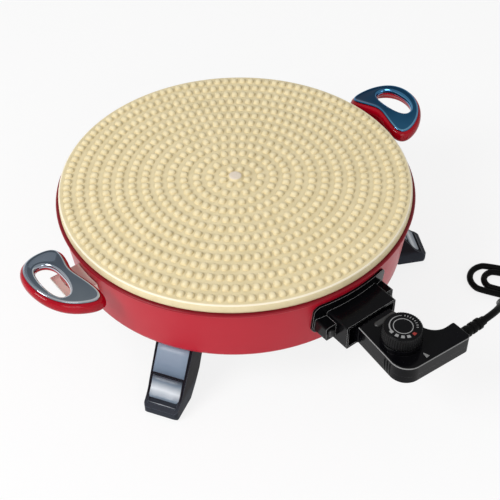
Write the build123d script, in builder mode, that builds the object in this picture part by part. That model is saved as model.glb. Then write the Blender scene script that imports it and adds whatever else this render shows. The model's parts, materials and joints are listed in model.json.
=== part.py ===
from build123d import *
import os
from math import asin, atan, cos, degrees, hypot, pi, radians, sin, sqrt, tan

# Electric flatbread maker: a studded cast plate on a round shell with three legs,
# two handles and a plug-in heat control with its mains lead.
# Units are millimetres. Z is up and the worktop is Z = 0.

# Heights above the worktop
PLATE_TOP = 137.0          # flat of the cooking plate
SHELL_FLOOR = 63.0         # underside of the shell
PROBE_Z = 95.0             # axis of the control's sensor rod

# Clearances
SEAT_GAP = 0.3             # between curved or loose seats
SLIP = 0.1                 # round a bolt, screw or bush in its hole

# Cooking plate
PLATE_R = 176.4            # at the foot of its rim
PLATE_EDGE = 8.5           # height of its rim
PLATE_DRAFT = 0.6          # the rim leans in by this much
PLATE_ROUND = 0.8          # broken edge of the rim
PLATE_SKIN = 5.5
PLATE_LIP = 4.0            # thickness of the rim's skirt
RING_PITCH = 12.857
STUDS_PER_RING = (8, 16, 25, 35, 40, 50, 60, 70, 80, 85, 95, 105, 115)
STUD_LONG = 7.4            # along the radius
STUD_WIDE = 6.6
STUD_HIGH = 3.0
STUD_TAPER = 20.0          # degrees
KNOB_R = 6.8               # centre knob of the plate
KNOB_HIGH = 4.0
KNOB_TAPER = 12.0
BOSS_R = 9.0               # centre boss under the plate
BOSS_LONG = 13.0

# Shell
WALL = 1.2
BEAD = 1.6                 # radius of the rolled rim
BEAD_R = 179.6
LEDGE_R = 168.0            # the rim turns in to here and carries the plate
WALL_TOP_R = 177.2
WALL_FOOT_R = 171.2
FOOT_RADIUS = 5.5          # corner between wall and floor
FLOOR_R = 148.0            # the shell's floor is open inside this radius

# Bottom cover, reflector and centre bolt
COVER_R = 160.0
COVER_T = 0.8
COVER_SCREW_R = 154.0      # radius of the screw circle
COVER_SCREWS = 6
VENTS = 12
VENT_R = 90.0
VENT_LONG = 26.0
VENT_WIDE = 5.0
REFLECTOR_Z = 80.0
REFLECTOR_R = 146.0
REFLECTOR_RISE = 6.0       # height of its upturned edge
REFLECTOR_T = 0.6
BOLT_R = 3.0
BOLT_BITE = 13.5           # length of the bolt inside the plate's boss
BOLT_HEAD_R = 5.8
BOLT_HEAD_T = 4.0
SPACER_WALL = 2.0

# Screws
SCREW_R = 2.0
SCREW_HEAD_R = 3.8
SCREW_HEAD_T = 2.2
SMALL_SCREW_R = 1.5
SMALL_HEAD_R = 2.8
SMALL_HEAD_T = 1.6
SMALL_SCREW_LONG = 6.0

# Heating element
TUBE_R = 3.3
RING_R = 118.0             # half width of its loop
ELEMENT_GAP = 0.3          # under the plate
ELEMENT_END = 172.0        # its ends, from the plate's axis
ELEMENT_FOOT = 146.0       # where its legs start to rise
ELEMENT_HEAD = 136.0       # where they reach the plate
ELEMENT_BEND = 9.0
ELEMENT_TURN = 90.0        # bends of the loop beside its ends
CLAMP_AZIMUTHS = (0.0, 90.0, 180.0)
CLAMP_LONG = 15.0
CLAMP_WIDE = 8.0
CLAMP_T = 1.8

# Sensor well and rod
ROD_R = 3.0
ROD_PLAY = 0.08
ROD_LONG = 75.0            # from the control's nose
WELL_WIDE = 18.0
WELL_LONG = 52.0
WELL_NEAR = 158.0          # distance of its mouth from the plate's axis
WELL_FLOOR = 88.0

# Socket
SOCKET_HALF = 29.5
SOCKET_TOP = 109.0
SOCKET_FLOOR = 81.0
SOCKET_REACH = 203.0       # front face, from the plate's axis
SOCKET_WALL = 2.5
SOCKET_DEEP = 21.0
SOCKET_ROUND = 2.0
FLANGE_HALF = 43.0
FLANGE_TOP = 119.5
FLANGE_FLOOR = 82.0
FLANGE_T = 2.4
FLANGE_ROUND = 8.0
LUG_HALF = 41.0            # side lugs of the socket
LUG_TOP = 103.0
LUG_FLOOR = 87.0
LUG_REACH = 188.0
TERMINAL_X = 13.5
TERMINAL_R = 2.5
TERMINAL_TIP = 199.0
BUSH_R = 5.0
BUSH_END = 183.0           # outer end of the bushes

# Handles, in their own frame: x outward from the plate's axis, y along the rim
TRIM_OUT = 233.5
TRIM_IN = 189.0
TRIM_HALF = 40.0
TRIM_FRONT_R = 50.0        # outer edge
TRIM_FRONT_HALF = 16.0
TRIM_CORNER = 6.0
TRIM_BOW = 5.5             # how far its inner edge bows outward
TRIM_T = 1.5
GRIP_BORDER = 4.0          # the grip is this much larger all round
GRIP_THICK = 14.0
GRIP_TOP = 133.2           # top of the grip at its middle
GRIP_TILT = 9.0            # degrees, it rises outward
ARCH_R = 126.0             # radius of its arch, seen from outside
HOLE_X = 215.5
HOLE_LONG = 46.0
HOLE_WIDE = 19.0
HOLE_LIP = 2.6             # the trim's hole is wider by this all round
GRIP_EDGE = 3.5            # rounded upper edges
GRIP_BELLY = 5.5           # rounded lower edges
TRIM_EDGE = 0.9
BRACKET_HALF = 17.0
BRACKET_T = 2.5
BRACKET_TOP = 111.0
BRACKET_OUT = 206.0
BRACKET_FOOT = 90.0        # lower end of its tab on the shell
BRACKET_SCREW_Y = 11.0
BRACKET_SCREW_Z = 99.0
FOOT_IN = 190.0            # the grip's foot stands on the bracket
FOOT_HALF = 14.0
FOOT_SCREW_X = 197.5

# Legs, in their own frame: x outward, y across, z up
LEGS = {"front_left": -148.5, "front_right": -28.5, "rear": 91.5}
TOE_OUT = 206.5
TOE_TOP = (201.0, 14.0)
KNEE = (187.5, 27.0)
SCOOP = (193.3, 19.5)      # middle of the hollow between knee and toe
HIP_X = 160.0
HEEL_X = 175.0
INSTEP = ((163.0, 12.0), (153.0, 23.0), (146.0, 36.0))
THIGH_X = 136.0
LEG_TOE_HALF = 17.5
LEG_BACK_HALF = 20.0
LEG_TOE_ROUND = 5.0
LEG_WALL = 3.2
LEG_SOLE = 12.0            # top of its solid sole
RECESS = 2.2               # depth of the two recesses in its face
RECESS_HALF = 14.5
PANEL_SPAN = (3.0, 34.0)   # upper recess, measured down the face
SCOOP_START = 36.5
TAB_IN = 118.0
TAB_T = 4.5
LEG_SCREW_X = 127.0
LEG_SCREW_Y = 9.0
PAD_T = 3.0
PAD_PROUD = 1.5
PAD_LONG = 20.0
PAD_WIDE = 22.0
PAD_X = 188.0

# Plug-in control: x across, distances from the plate's axis
NOSE = 184.0
NECK_HALF = 19.5
NECK_TOP = 103.5
NECK_FLOOR = 87.0
NECK_END = 206.0
CASE_TOP = 107.0
CASE_FLOOR = 86.5
CASE_SPLIT = 95.0
CASE_WALL = 2.0
CASE_HALF = 24.0           # left wall at its widest
CASE_REACH = 276.0
CASE_CORNER = (253.5, 272.0)
ARM_REACH = 52.0           # its arm towards the lead
ARM_BACK = 254.0
ARM_ROUND = 4.0
ARM_BEND = 43.0            # the arm's back meets the curve into the waist here
WAIST = (27.0, 243.0)
CASE_EDGE = 1.6            # rounded upper and lower edges
DIAL_Y = 241.0
DIAL_R = 18.0
DIAL_TOP_R = 16.9
DIAL_FLOOR = 113.0
DIAL_TOP = 125.5
DIAL_EDGE = 1.2
DIAL_RIBS = 48
RIB_R = 0.6
TURRET_R = 19.0            # raised ring of the case under the dial
TURRET_TOP = 112.6
SHAFT_R = 3.0
SHAFT_PLAY = 0.06
SHAFT_TOP = 122.0
CAM_R = 5.0
CAM_OFF = 1.4
CAM_Z = 97.0
CAM_T = 3.0
SLEEVE_R = 3.4
SLEEVE_PLAY = 0.08
SLEEVE_BACK = 206.5
BLOCK_BACK = 207.5
LENS_R = 3.4
LENS_LONG = 26.0
LENS_X = 6.0
LENS_Y = 214.5
LENS_HIGH = 1.6
BASE_HALF = 12.0           # thermostat plate
BASE_T = 2.5
POST_X = -12.0
POST_Y = 222.0
BLADE_WIDE = 5.0
BLADE_T = 0.8
BLADE_LONG = 34.0
SPRING_T = 0.4
CASE_SCREWS = ((-12.0, 264.0), (40.0, 260.0))

# Mains lead
LEAD_R = 3.25
RELIEF_R = 5.2
RELIEF_END_R = 4.2
RELIEF_LONG = 30.0
RELIEF_RINGS = 3
COLLAR_R = 7.0
COLLAR_T = 2.0
LEAD_Z = 97.0
LEAD_Y = 264.5             # the arm's middle
# the lead's corners between the control and the hank, from the plate's axis
LEAD_CORNERS = (
    (98.0, -264.5, 97.0),
    (116.0, -257.5, 90.0),
    (133.5, -245.0, 72.0),
    (150.0, -232.5, 48.0),
    (165.5, -222.5, 28.0),
    (180.3, -215.6, 17.5),
    (196.0, -216.0, 13.0),
)

# Hank of the lead: racetrack loops along its own axis, in two layers
HANK_AT = (203.0, -178.0)  # centre of its near end, from the plate's axis
HANK_TURN = -56.0          # degrees, the direction that its loops run
HANK_LOW = 4.7             # middle of the lower layer
HANK_PITCH = 7.0
HANK_R = 20.0
HANK_LONG = 100.0
HANK_JOIN = 56.0           # the lead joins its first loop here
HANK_NEAR = 38.0           # near end of the upper layer
HANK_INNER = 8.0           # near end of the lower inner loop
DROP_FROM = 100.0          # the strand that changes layer
DROP_TO = 50.0
RISE_FROM = 112.0          # the tail rises to the plug
RISE_TO = 137.0
TAIL_Z = 9.0
TIE_AT = 76.0
TIE_T = 0.9
TIE_WIDE = 6.0
PLUG_AT = 177.0
PLUG_R = 18.5
PLUG_HIGH = 21.0
PLUG_NECK = 15.0
PLUG_EDGE = 2.0
PIN_R = 2.4
PIN_LONG = 19.0
PIN_SPACING = 19.0

# The box of the object without its lead is centred on the origin
AXIS_Y = (CASE_REACH - TOE_OUT) / 2
AXIS = Axis((0, AXIS_Y, 0), (0, 0, 1))
UP = Vector(0, 0, 1)
RIM_Z = PLATE_TOP - PLATE_EDGE - SEAT_GAP
PLATE_UNDER = PLATE_TOP - PLATE_SKIN
BOSS_FLOOR = PLATE_UNDER - BOSS_LONG
COVER_FLOOR = SHELL_FLOOR - COVER_T
ELEMENT_Z = PLATE_UNDER - ELEMENT_GAP - TUBE_R
SIDES = {"right": 0.0, "left": 180.0}

os.makedirs("parts", exist_ok=True)


def outward(angle):
    return Vector(cos(radians(angle)), sin(radians(angle)), 0)


def level(z):
    """Horizontal plane at a height, with its origin on the plate's axis."""
    return Plane(origin=(0, AXIS_Y, z))


def turned(z, angle):
    """Horizontal plane on the axis whose x runs outward at that angle."""
    return Plane(origin=(0, AXIS_Y, z), x_dir=outward(angle), z_dir=(0, 0, 1))


def upright(angle, off=0.0):
    """Vertical plane through the axis: x runs outward at that angle and y runs up."""
    out = outward(angle)
    side = out.cross(UP)
    return Plane(origin=Vector(0, AXIS_Y, 0) + side * off, x_dir=out, z_dir=side)


def facing(angle, r, z, across=0.0):
    """Vertical plane that looks outward: x runs across and y runs up."""
    out = outward(angle)
    side = UP.cross(out)
    return Plane(origin=Vector(0, AXIS_Y, z) + out * r + side * across, x_dir=side, z_dir=out)


def wall_r(z):
    """Outer radius of the shell's wall at a height."""
    top = RIM_Z - 2 * BEAD
    foot = SHELL_FLOOR + FOOT_RADIUS
    return WALL_FOOT_R + (WALL_TOP_R - WALL_FOOT_R) * (z - foot) / (top - foot)


def revolved(points, mode=Mode.ADD):
    """Turns a closed outline of (radius, height) points about the plate's axis."""
    with BuildSketch(upright(0)) as outline:
        with BuildLine():
            Polyline(*points, close=True)
        make_face()
    revolve(outline.sketch, axis=AXIS, mode=mode)


def wall_band(floor, top, gap, thick):
    """Conical band that follows the outside of the shell's wall."""
    near = [(wall_r(z) + gap, z) for z in (floor, top)]
    far = [(x + thick, z) for x, z in reversed(near)]
    revolved(near + far)


def cut_wall(gap):
    """Takes away what would reach into the shell."""
    floor = SHELL_FLOOR
    revolved(
        [(0, floor), (wall_r(floor) + gap, floor), (wall_r(RIM_Z) + gap, RIM_Z), (0, RIM_Z)],
        mode=Mode.SUBTRACT,
    )


def rod(start, end, radius, mode=Mode.ADD):
    """Round bar between two points given from the plate's axis."""
    a = Vector(*start) + Vector(0, AXIS_Y, 0)
    b = Vector(*end) + Vector(0, AXIS_Y, 0)
    with BuildSketch(Plane(origin=a, z_dir=b - a)) as section:
        Circle(radius)
    extrude(section.sketch, amount=(b - a).length, dir=b - a, mode=mode)


def block(x, y, z, mode=Mode.ADD):
    """Square block from its three spans, given from the plate's axis."""
    with BuildSketch(level(z[0])) as section:
        with Locations(((x[0] + x[1]) / 2, (y[0] + y[1]) / 2)):
            Rectangle(x[1] - x[0], y[1] - y[0])
    extrude(section.sketch, amount=z[1] - z[0], mode=mode)


# Cooking plate
with BuildPart() as cooking_plate:
    shoulder = PLATE_R - PLATE_DRAFT
    skirt = PLATE_R - PLATE_LIP
    bolt_end = BOSS_FLOOR + BOLT_BITE + 1
    revolved(
        [
            (0, PLATE_TOP),
            (shoulder - PLATE_ROUND, PLATE_TOP),
            (shoulder, PLATE_TOP - PLATE_ROUND),
            (PLATE_R, PLATE_TOP - PLATE_EDGE),
            (skirt, PLATE_TOP - PLATE_EDGE),
            (skirt - 1, PLATE_UNDER),
            (BOSS_R, PLATE_UNDER),
            (BOSS_R, BOSS_FLOOR),
            (BOLT_R + SLIP, BOSS_FLOOR),
            (BOLT_R + SLIP, bolt_end),
            (0, bolt_end),
        ]
    )
    with BuildSketch(level(PLATE_TOP)):
        Circle(KNOB_R)
    extrude(amount=KNOB_HIGH, taper=KNOB_TAPER)
    with BuildSketch(level(PLATE_TOP)):
        for ring, count in enumerate(STUDS_PER_RING, start=1):
            with PolarLocations(ring * RING_PITCH, count):
                Rectangle(STUD_LONG, STUD_WIDE)
    extrude(amount=STUD_HIGH, taper=STUD_TAPER)
cooking_plate.part.label = "cooking_plate"
export_step(cooking_plate.part, "parts/cooking_plate.step")

# Shell: rolled rim, tapered wall and an open floor
with BuildPart() as shell:
    with BuildSketch(upright(0)):
        with BuildLine():
            neck_r = BEAD_R - BEAD
            neck_z = RIM_Z - 2 * BEAD
            heel_r = WALL_FOOT_R - FOOT_RADIUS
            heel_z = SHELL_FLOOR + FOOT_RADIUS
            outer = FOOT_RADIUS * sqrt(0.5)
            inner = (FOOT_RADIUS - WALL) * sqrt(0.5)
            Line((LEDGE_R, RIM_Z), (neck_r, RIM_Z))
            ThreePointArc((neck_r, RIM_Z), (BEAD_R, RIM_Z - BEAD), (neck_r, neck_z))
            Polyline((neck_r, neck_z), (WALL_TOP_R, neck_z), (WALL_FOOT_R, heel_z))
            ThreePointArc(
                (WALL_FOOT_R, heel_z), (heel_r + outer, heel_z - outer), (heel_r, SHELL_FLOOR)
            )
            Polyline(
                (heel_r, SHELL_FLOOR),
                (FLOOR_R, SHELL_FLOOR),
                (FLOOR_R, SHELL_FLOOR + WALL),
                (heel_r, SHELL_FLOOR + WALL),
            )
            ThreePointArc(
                (heel_r, SHELL_FLOOR + WALL),
                (heel_r + inner, heel_z - inner),
                (WALL_FOOT_R - WALL, heel_z),
            )
            Polyline(
                (WALL_FOOT_R - WALL, heel_z),
                (WALL_TOP_R - WALL, RIM_Z - WALL),
                (LEDGE_R, RIM_Z - WALL),
                (LEDGE_R, RIM_Z),
            )
        make_face()
    revolve(axis=AXIS)
    with BuildSketch(facing(-90, FLOOR_R, PROBE_Z)):
        SlotCenterToCenter(2 * TERMINAL_X, 2 * (BUSH_R + SLIP))
        with GridLocations(LUG_HALF + SOCKET_HALF, 1, 2, 1):
            Circle(SCREW_R + SLIP)
    extrude(amount=WALL_TOP_R - FLOOR_R, mode=Mode.SUBTRACT)
    for angle in SIDES.values():
        with BuildSketch(facing(angle, FLOOR_R, BRACKET_SCREW_Z)):
            with GridLocations(2 * BRACKET_SCREW_Y, 1, 2, 1):
                Circle(SCREW_R + SLIP)
        extrude(amount=WALL_TOP_R - FLOOR_R, mode=Mode.SUBTRACT)
    with BuildSketch(level(SHELL_FLOOR)):
        with PolarLocations(COVER_SCREW_R, COVER_SCREWS):
            Circle(SMALL_SCREW_R + SLIP)
    extrude(amount=WALL, mode=Mode.SUBTRACT)
shell.part.label = "shell"
export_step(shell.part, "parts/shell.step")

# Bottom cover with its air slots
with BuildPart() as bottom_cover:
    with BuildSketch(level(COVER_FLOOR)):
        Circle(COVER_R)
        Circle(BOLT_R + SLIP, mode=Mode.SUBTRACT)
        with PolarLocations(COVER_SCREW_R, COVER_SCREWS):
            Circle(SMALL_SCREW_R + SLIP, mode=Mode.SUBTRACT)
        with PolarLocations(VENT_R, VENTS):
            SlotOverall(VENT_LONG, VENT_WIDE, mode=Mode.SUBTRACT)
    extrude(amount=COVER_T)
    for azimuth in LEGS.values():
        with BuildSketch(turned(COVER_FLOOR, azimuth)):
            with Locations((LEG_SCREW_X, LEG_SCREW_Y), (LEG_SCREW_X, -LEG_SCREW_Y)):
                Circle(SCREW_R + SLIP)
        extrude(amount=COVER_T, mode=Mode.SUBTRACT)
bottom_cover.part.label = "bottom_cover"
export_step(bottom_cover.part, "parts/bottom_cover.step")

# Screws of the cover, up into the shell's floor
with BuildPart() as cover_screws:
    with BuildSketch(level(COVER_FLOOR)):
        with PolarLocations(COVER_SCREW_R, COVER_SCREWS):
            Circle(SMALL_HEAD_R)
    extrude(amount=-SMALL_HEAD_T)
    with BuildSketch(level(COVER_FLOOR)):
        with PolarLocations(COVER_SCREW_R, COVER_SCREWS):
            Circle(SMALL_SCREW_R)
    extrude(amount=SMALL_SCREW_LONG)
cover_screws.part.label = "cover_screws"
export_step(cover_screws.part, "parts/cover_screws.step")

# Dished reflector under the element
with BuildPart() as heat_reflector:
    flat_r = REFLECTOR_R - REFLECTOR_RISE
    revolved(
        [
            (BOLT_R + SLIP, REFLECTOR_Z),
            (flat_r, REFLECTOR_Z),
            (REFLECTOR_R, REFLECTOR_Z + REFLECTOR_RISE),
            (REFLECTOR_R, REFLECTOR_Z + REFLECTOR_RISE + REFLECTOR_T),
            (flat_r, REFLECTOR_Z + REFLECTOR_T),
            (BOLT_R + SLIP, REFLECTOR_Z + REFLECTOR_T),
        ]
    )
heat_reflector.part.label = "heat_reflector"
export_step(heat_reflector.part, "parts/heat_reflector.step")

# Spacer tubes on the centre bolt, below and above the reflector
with BuildPart() as centre_spacers:
    for foot, head in ((SHELL_FLOOR, REFLECTOR_Z), (REFLECTOR_Z + REFLECTOR_T, BOSS_FLOOR)):
        with BuildSketch(level(foot)):
            Circle(BOLT_R + SLIP + SPACER_WALL)
            Circle(BOLT_R + SLIP, mode=Mode.SUBTRACT)
        extrude(amount=head - foot)
centre_spacers.part.label = "centre_spacers"
export_step(centre_spacers.part, "parts/centre_spacers.step")

# Centre bolt, screwed up into the plate's boss
with BuildPart() as centre_bolt:
    with BuildSketch(level(COVER_FLOOR)):
        RegularPolygon(BOLT_HEAD_R, 6)
    extrude(amount=-BOLT_HEAD_T)
    with BuildSketch(level(COVER_FLOOR)):
        Circle(BOLT_R)
    extrude(amount=BOSS_FLOOR + BOLT_BITE - COVER_FLOOR)
centre_bolt.part.label = "centre_bolt"
export_step(centre_bolt.part, "parts/centre_bolt.step")

# Heating element: one tube from terminal to terminal round the plate
half_route = [
    (TERMINAL_X, AXIS_Y - ELEMENT_END, PROBE_Z),
    (TERMINAL_X, AXIS_Y - ELEMENT_FOOT, PROBE_Z),
    (TERMINAL_X, AXIS_Y - ELEMENT_HEAD, ELEMENT_Z),
    (TERMINAL_X, AXIS_Y - RING_R, ELEMENT_Z),
    (RING_R, AXIS_Y - RING_R, ELEMENT_Z),
    (RING_R, AXIS_Y + RING_R, ELEMENT_Z),
]
half_bends = [ELEMENT_BEND, ELEMENT_BEND, ELEMENT_BEND, ELEMENT_TURN, RING_R - CLAMP_LONG]
with BuildPart() as heating_element:
    with BuildLine() as element_route:
        FilletPolyline(
            *half_route,
            *[(-x, y, z) for x, y, z in reversed(half_route)],
            radius=half_bends + half_bends[::-1],
        )
    with BuildSketch(facing(90, -ELEMENT_END, PROBE_Z, -TERMINAL_X)):
        Circle(TUBE_R)
    sweep(path=element_route.wire())
heating_element.part.label = "heating_element"
export_step(heating_element.part, "parts/heating_element.step")

# Lugs under the plate, closed round the element
with BuildPart() as element_clamps:
    for azimuth in CLAMP_AZIMUTHS:
        with BuildSketch(upright(azimuth, off=-CLAMP_WIDE / 2)):
            low = ELEMENT_Z - TUBE_R - CLAMP_T
            with Locations((RING_R, (low + PLATE_UNDER) / 2)):
                Rectangle(CLAMP_LONG, PLATE_UNDER - low)
            with Locations((RING_R, ELEMENT_Z)):
                Circle(TUBE_R + SLIP, mode=Mode.SUBTRACT)
            with Locations((RING_R, (ELEMENT_Z + PLATE_UNDER) / 2)):
                Rectangle(2 * (TUBE_R + SLIP), PLATE_UNDER - ELEMENT_Z, mode=Mode.SUBTRACT)
        extrude(amount=CLAMP_WIDE)
element_clamps.part.label = "element_clamps"
export_step(element_clamps.part, "parts/element_clamps.step")

# Well under the plate that the sensor rod slides into
with BuildPart() as probe_well:
    far_end = -(WELL_NEAR - WELL_LONG)
    block((-WELL_WIDE / 2, WELL_WIDE / 2), (-WELL_NEAR, far_end), (WELL_FLOOR, PLATE_UNDER))
    rod((0, -WELL_NEAR, PROBE_Z), (0, far_end, PROBE_Z), ROD_R + ROD_PLAY, mode=Mode.SUBTRACT)
probe_well.part.label = "probe_well"
export_step(probe_well.part, "parts/probe_well.step")

# Socket that the control plugs into
with BuildPart() as control_socket:
    wall_band(FLANGE_FLOOR, FLANGE_TOP, SEAT_GAP, FLANGE_T)
    with BuildSketch(facing(-90, FLOOR_R, (FLANGE_FLOOR + FLANGE_TOP) / 2)):
        RectangleRounded(2 * FLANGE_HALF, FLANGE_TOP - FLANGE_FLOOR, FLANGE_ROUND)
    extrude(amount=SOCKET_REACH - FLOOR_R, mode=Mode.INTERSECT)
    with BuildSketch(facing(-90, FLOOR_R, (SOCKET_FLOOR + SOCKET_TOP) / 2)):
        RectangleRounded(2 * SOCKET_HALF, SOCKET_TOP - SOCKET_FLOOR, SOCKET_ROUND)
    extrude(amount=SOCKET_REACH - FLOOR_R)
    with BuildSketch(facing(-90, FLOOR_R, (LUG_FLOOR + LUG_TOP) / 2)):
        RectangleRounded(2 * LUG_HALF, LUG_TOP - LUG_FLOOR, SOCKET_ROUND)
    extrude(amount=LUG_REACH - FLOOR_R)
    cut_wall(SEAT_GAP)
    with BuildSketch(facing(-90, SOCKET_REACH, (SOCKET_FLOOR + SOCKET_TOP) / 2)):
        Rectangle(2 * (SOCKET_HALF - SOCKET_WALL), SOCKET_TOP - SOCKET_FLOOR - 2 * SOCKET_WALL)
    extrude(amount=-SOCKET_DEEP, mode=Mode.SUBTRACT)
    with BuildSketch(facing(-90, FLOOR_R, PROBE_Z)):
        with GridLocations(2 * TERMINAL_X, 1, 2, 1):
            Circle(BUSH_R + SLIP)
        Circle(ROD_R + 1)
        with GridLocations(LUG_HALF + SOCKET_HALF, 1, 2, 1):
            Circle(SCREW_R + SLIP)
    extrude(amount=SOCKET_REACH - FLOOR_R, mode=Mode.SUBTRACT)
control_socket.part.label = "control_socket"
export_step(control_socket.part, "parts/control_socket.step")

# Screws through the socket's lugs into the shell
with BuildPart() as socket_screws:
    for x in (-(LUG_HALF + SOCKET_HALF) / 2, (LUG_HALF + SOCKET_HALF) / 2):
        rod((x, -LUG_REACH, PROBE_Z), (x, -LUG_REACH - SCREW_HEAD_T, PROBE_Z), SCREW_HEAD_R)
        rod((x, -LUG_REACH, PROBE_Z), (x, -FLOOR_R - SCREW_HEAD_R, PROBE_Z), SCREW_R)
socket_screws.part.label = "socket_screws"
export_step(socket_screws.part, "parts/socket_screws.step")

# Terminal pins of the element and the bushes round them
with BuildPart() as terminal_pins:
    for x in (-TERMINAL_X, TERMINAL_X):
        rod((x, -ELEMENT_END, PROBE_Z), (x, -TERMINAL_TIP, PROBE_Z), TERMINAL_R)
terminal_pins.part.label = "terminal_pins"
export_step(terminal_pins.part, "parts/terminal_pins.step")

with BuildPart() as terminal_bushes:
    for x in (-TERMINAL_X, TERMINAL_X):
        rod((x, -ELEMENT_END, PROBE_Z), (x, -BUSH_END, PROBE_Z), BUSH_R)
        rod(
            (x, -ELEMENT_END, PROBE_Z),
            (x, -BUSH_END, PROBE_Z),
            TERMINAL_R + SLIP,
            mode=Mode.SUBTRACT,
        )
terminal_bushes.part.label = "terminal_bushes"
export_step(terminal_bushes.part, "parts/terminal_bushes.step")


def handle_outline():
    """Plan of a handle's trim, as lines of the sketch that is being drawn."""
    turn = asin(TRIM_FRONT_HALF / TRIM_FRONT_R)
    front_x = TRIM_OUT - TRIM_FRONT_R * (1 - cos(turn))
    lobe_x = front_x - (TRIM_HALF - TRIM_FRONT_HALF) / tan(pi / 4 - turn / 2)
    inner_half = TRIM_HALF - TRIM_CORNER
    side_x = TRIM_IN + TRIM_CORNER
    notch_x = TRIM_IN + TRIM_BOW
    lead = side_x - notch_x
    bow_r = (lead**2 + inner_half**2 - TRIM_CORNER**2) / 2 / (TRIM_CORNER - lead)
    reach = bow_r / (bow_r + TRIM_CORNER)
    join_x = notch_x - bow_r + (lead + bow_r) * reach
    join_y = inner_half * reach
    shoulder = TRIM_CORNER * sqrt(0.5)
    with BuildLine() as outline:
        ThreePointArc((front_x, -TRIM_FRONT_HALF), (TRIM_OUT, 0), (front_x, TRIM_FRONT_HALF))
        for s in (-1, 1):
            TangentArc(
                (front_x, s * TRIM_FRONT_HALF),
                (lobe_x, s * TRIM_HALF),
                tangent=(-sin(turn), s * cos(turn)),
            )
            Line((lobe_x, s * TRIM_HALF), (side_x, s * TRIM_HALF))
            ThreePointArc(
                (side_x, s * TRIM_HALF),
                (side_x - shoulder, s * (inner_half + shoulder)),
                (join_x, s * join_y),
            )
        ThreePointArc((join_x, -join_y), (notch_x, 0), (join_x, join_y))
    return outline.line


def handle_arch(angle, floor, top):
    """Keeps what lies between two heights of a handle's arched and tilted body."""
    tilt = radians(GRIP_TILT)
    out = outward(angle)
    start = TRIM_IN - 2 * GRIP_BORDER - TRIM_HALF
    drop = (HOLE_X - start) * tan(tilt)
    plane = Plane(
        origin=Vector(0, AXIS_Y, GRIP_TOP - drop) + out * start,
        x_dir=UP.cross(out),
        z_dir=out * cos(tilt) + UP * sin(tilt),
    )
    with BuildSketch(plane) as band:
        with Locations((0, -ARCH_R)):
            Circle(ARCH_R + top)
            Circle(ARCH_R + floor, mode=Mode.SUBTRACT)
        Rectangle(3 * TRIM_HALF, ARCH_R, mode=Mode.INTERSECT)
    extrude(band.sketch, amount=TRIM_OUT - start + TRIM_HALF, mode=Mode.INTERSECT)


def broad_faces(handle):
    """The lower and the upper broad face of a handle's piece."""
    return handle.faces().sort_by(SortBy.AREA)[-2:].sort_by(Axis.Z)


for side, angle in SIDES.items():
    # Grip: arched pad with a finger hole and a foot on the bracket
    with BuildPart() as handle_grip:
        with BuildSketch(turned(BRACKET_TOP - GRIP_THICK, angle)):
            add(handle_outline())
            make_face()
            offset(amount=GRIP_BORDER)
        extrude(amount=3 * GRIP_THICK)
        handle_arch(angle, -GRIP_THICK, 0)
        fillet(broad_faces(handle_grip)[0].edges(), GRIP_BELLY)
        fillet(broad_faces(handle_grip)[1].edges(), GRIP_EDGE)
        with BuildSketch(turned(BRACKET_TOP, angle)):
            with Locations(((FOOT_IN + BRACKET_OUT - 1) / 2, 0)):
                Rectangle(BRACKET_OUT - 1 - FOOT_IN, 2 * FOOT_HALF)
        extrude(amount=GRIP_THICK / 2)
        with BuildSketch(turned(BRACKET_TOP - GRIP_THICK, angle)):
            with Locations((HOLE_X, 0)):
                SlotOverall(HOLE_LONG, HOLE_WIDE, rotation=90)
        extrude(amount=3 * GRIP_THICK, mode=Mode.SUBTRACT)
        with BuildSketch(turned(BRACKET_TOP, angle)):
            with Locations((FOOT_SCREW_X, 0)):
                Circle(SCREW_R + SLIP)
        extrude(amount=GRIP_THICK * 0.7, mode=Mode.SUBTRACT)
    handle_grip.part.label = f"handle_grip_{side}"
    export_step(handle_grip.part, f"parts/handle_grip_{side}.step")

    # Trim: bright skin on the grip, open round the finger hole
    with BuildPart() as handle_trim:
        with BuildSketch(turned(BRACKET_TOP - GRIP_THICK, angle)):
            add(handle_outline())
            make_face()
            with Locations((HOLE_X, 0)):
                SlotOverall(
                    HOLE_LONG + 2 * HOLE_LIP,
                    HOLE_WIDE + 2 * HOLE_LIP,
                    rotation=90,
                    mode=Mode.SUBTRACT,
                )
        extrude(amount=3 * GRIP_THICK)
        handle_arch(angle, SLIP, SLIP + TRIM_T)
        fillet(broad_faces(handle_trim)[1].edges(), TRIM_EDGE)
    handle_trim.part.label = f"handle_trim_{side}"
    export_step(handle_trim.part, f"parts/handle_trim_{side}.step")

    # Bracket: strap under the grip with a tab on the shell
    with BuildPart() as handle_bracket:
        wall_band(BRACKET_FOOT, BRACKET_TOP, SEAT_GAP, BRACKET_T)
        with BuildSketch(facing(angle, FLOOR_R, (BRACKET_FOOT + BRACKET_TOP) / 2)):
            RectangleRounded(2 * BRACKET_HALF, BRACKET_TOP - BRACKET_FOOT + 2, 1.0)
        extrude(amount=BRACKET_OUT - FLOOR_R, mode=Mode.INTERSECT)
        with BuildSketch(turned(BRACKET_TOP, angle)):
            with Locations(((WALL_FOOT_R + BRACKET_OUT) / 2, 0)):
                Rectangle(BRACKET_OUT - WALL_FOOT_R, 2 * BRACKET_HALF)
        extrude(amount=-BRACKET_T)
        cut_wall(SEAT_GAP)
        with BuildSketch(facing(angle, FLOOR_R, BRACKET_SCREW_Z)):
            with GridLocations(2 * BRACKET_SCREW_Y, 1, 2, 1):
                Circle(SCREW_R + SLIP)
        extrude(amount=BRACKET_OUT - FLOOR_R, mode=Mode.SUBTRACT)
        with BuildSketch(turned(BRACKET_TOP, angle)):
            with Locations((FOOT_SCREW_X, 0)):
                Circle(SCREW_R + SLIP)
        extrude(amount=-BRACKET_T, mode=Mode.SUBTRACT)
    handle_bracket.part.label = f"handle_bracket_{side}"
    export_step(handle_bracket.part, f"parts/handle_bracket_{side}.step")

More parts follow.
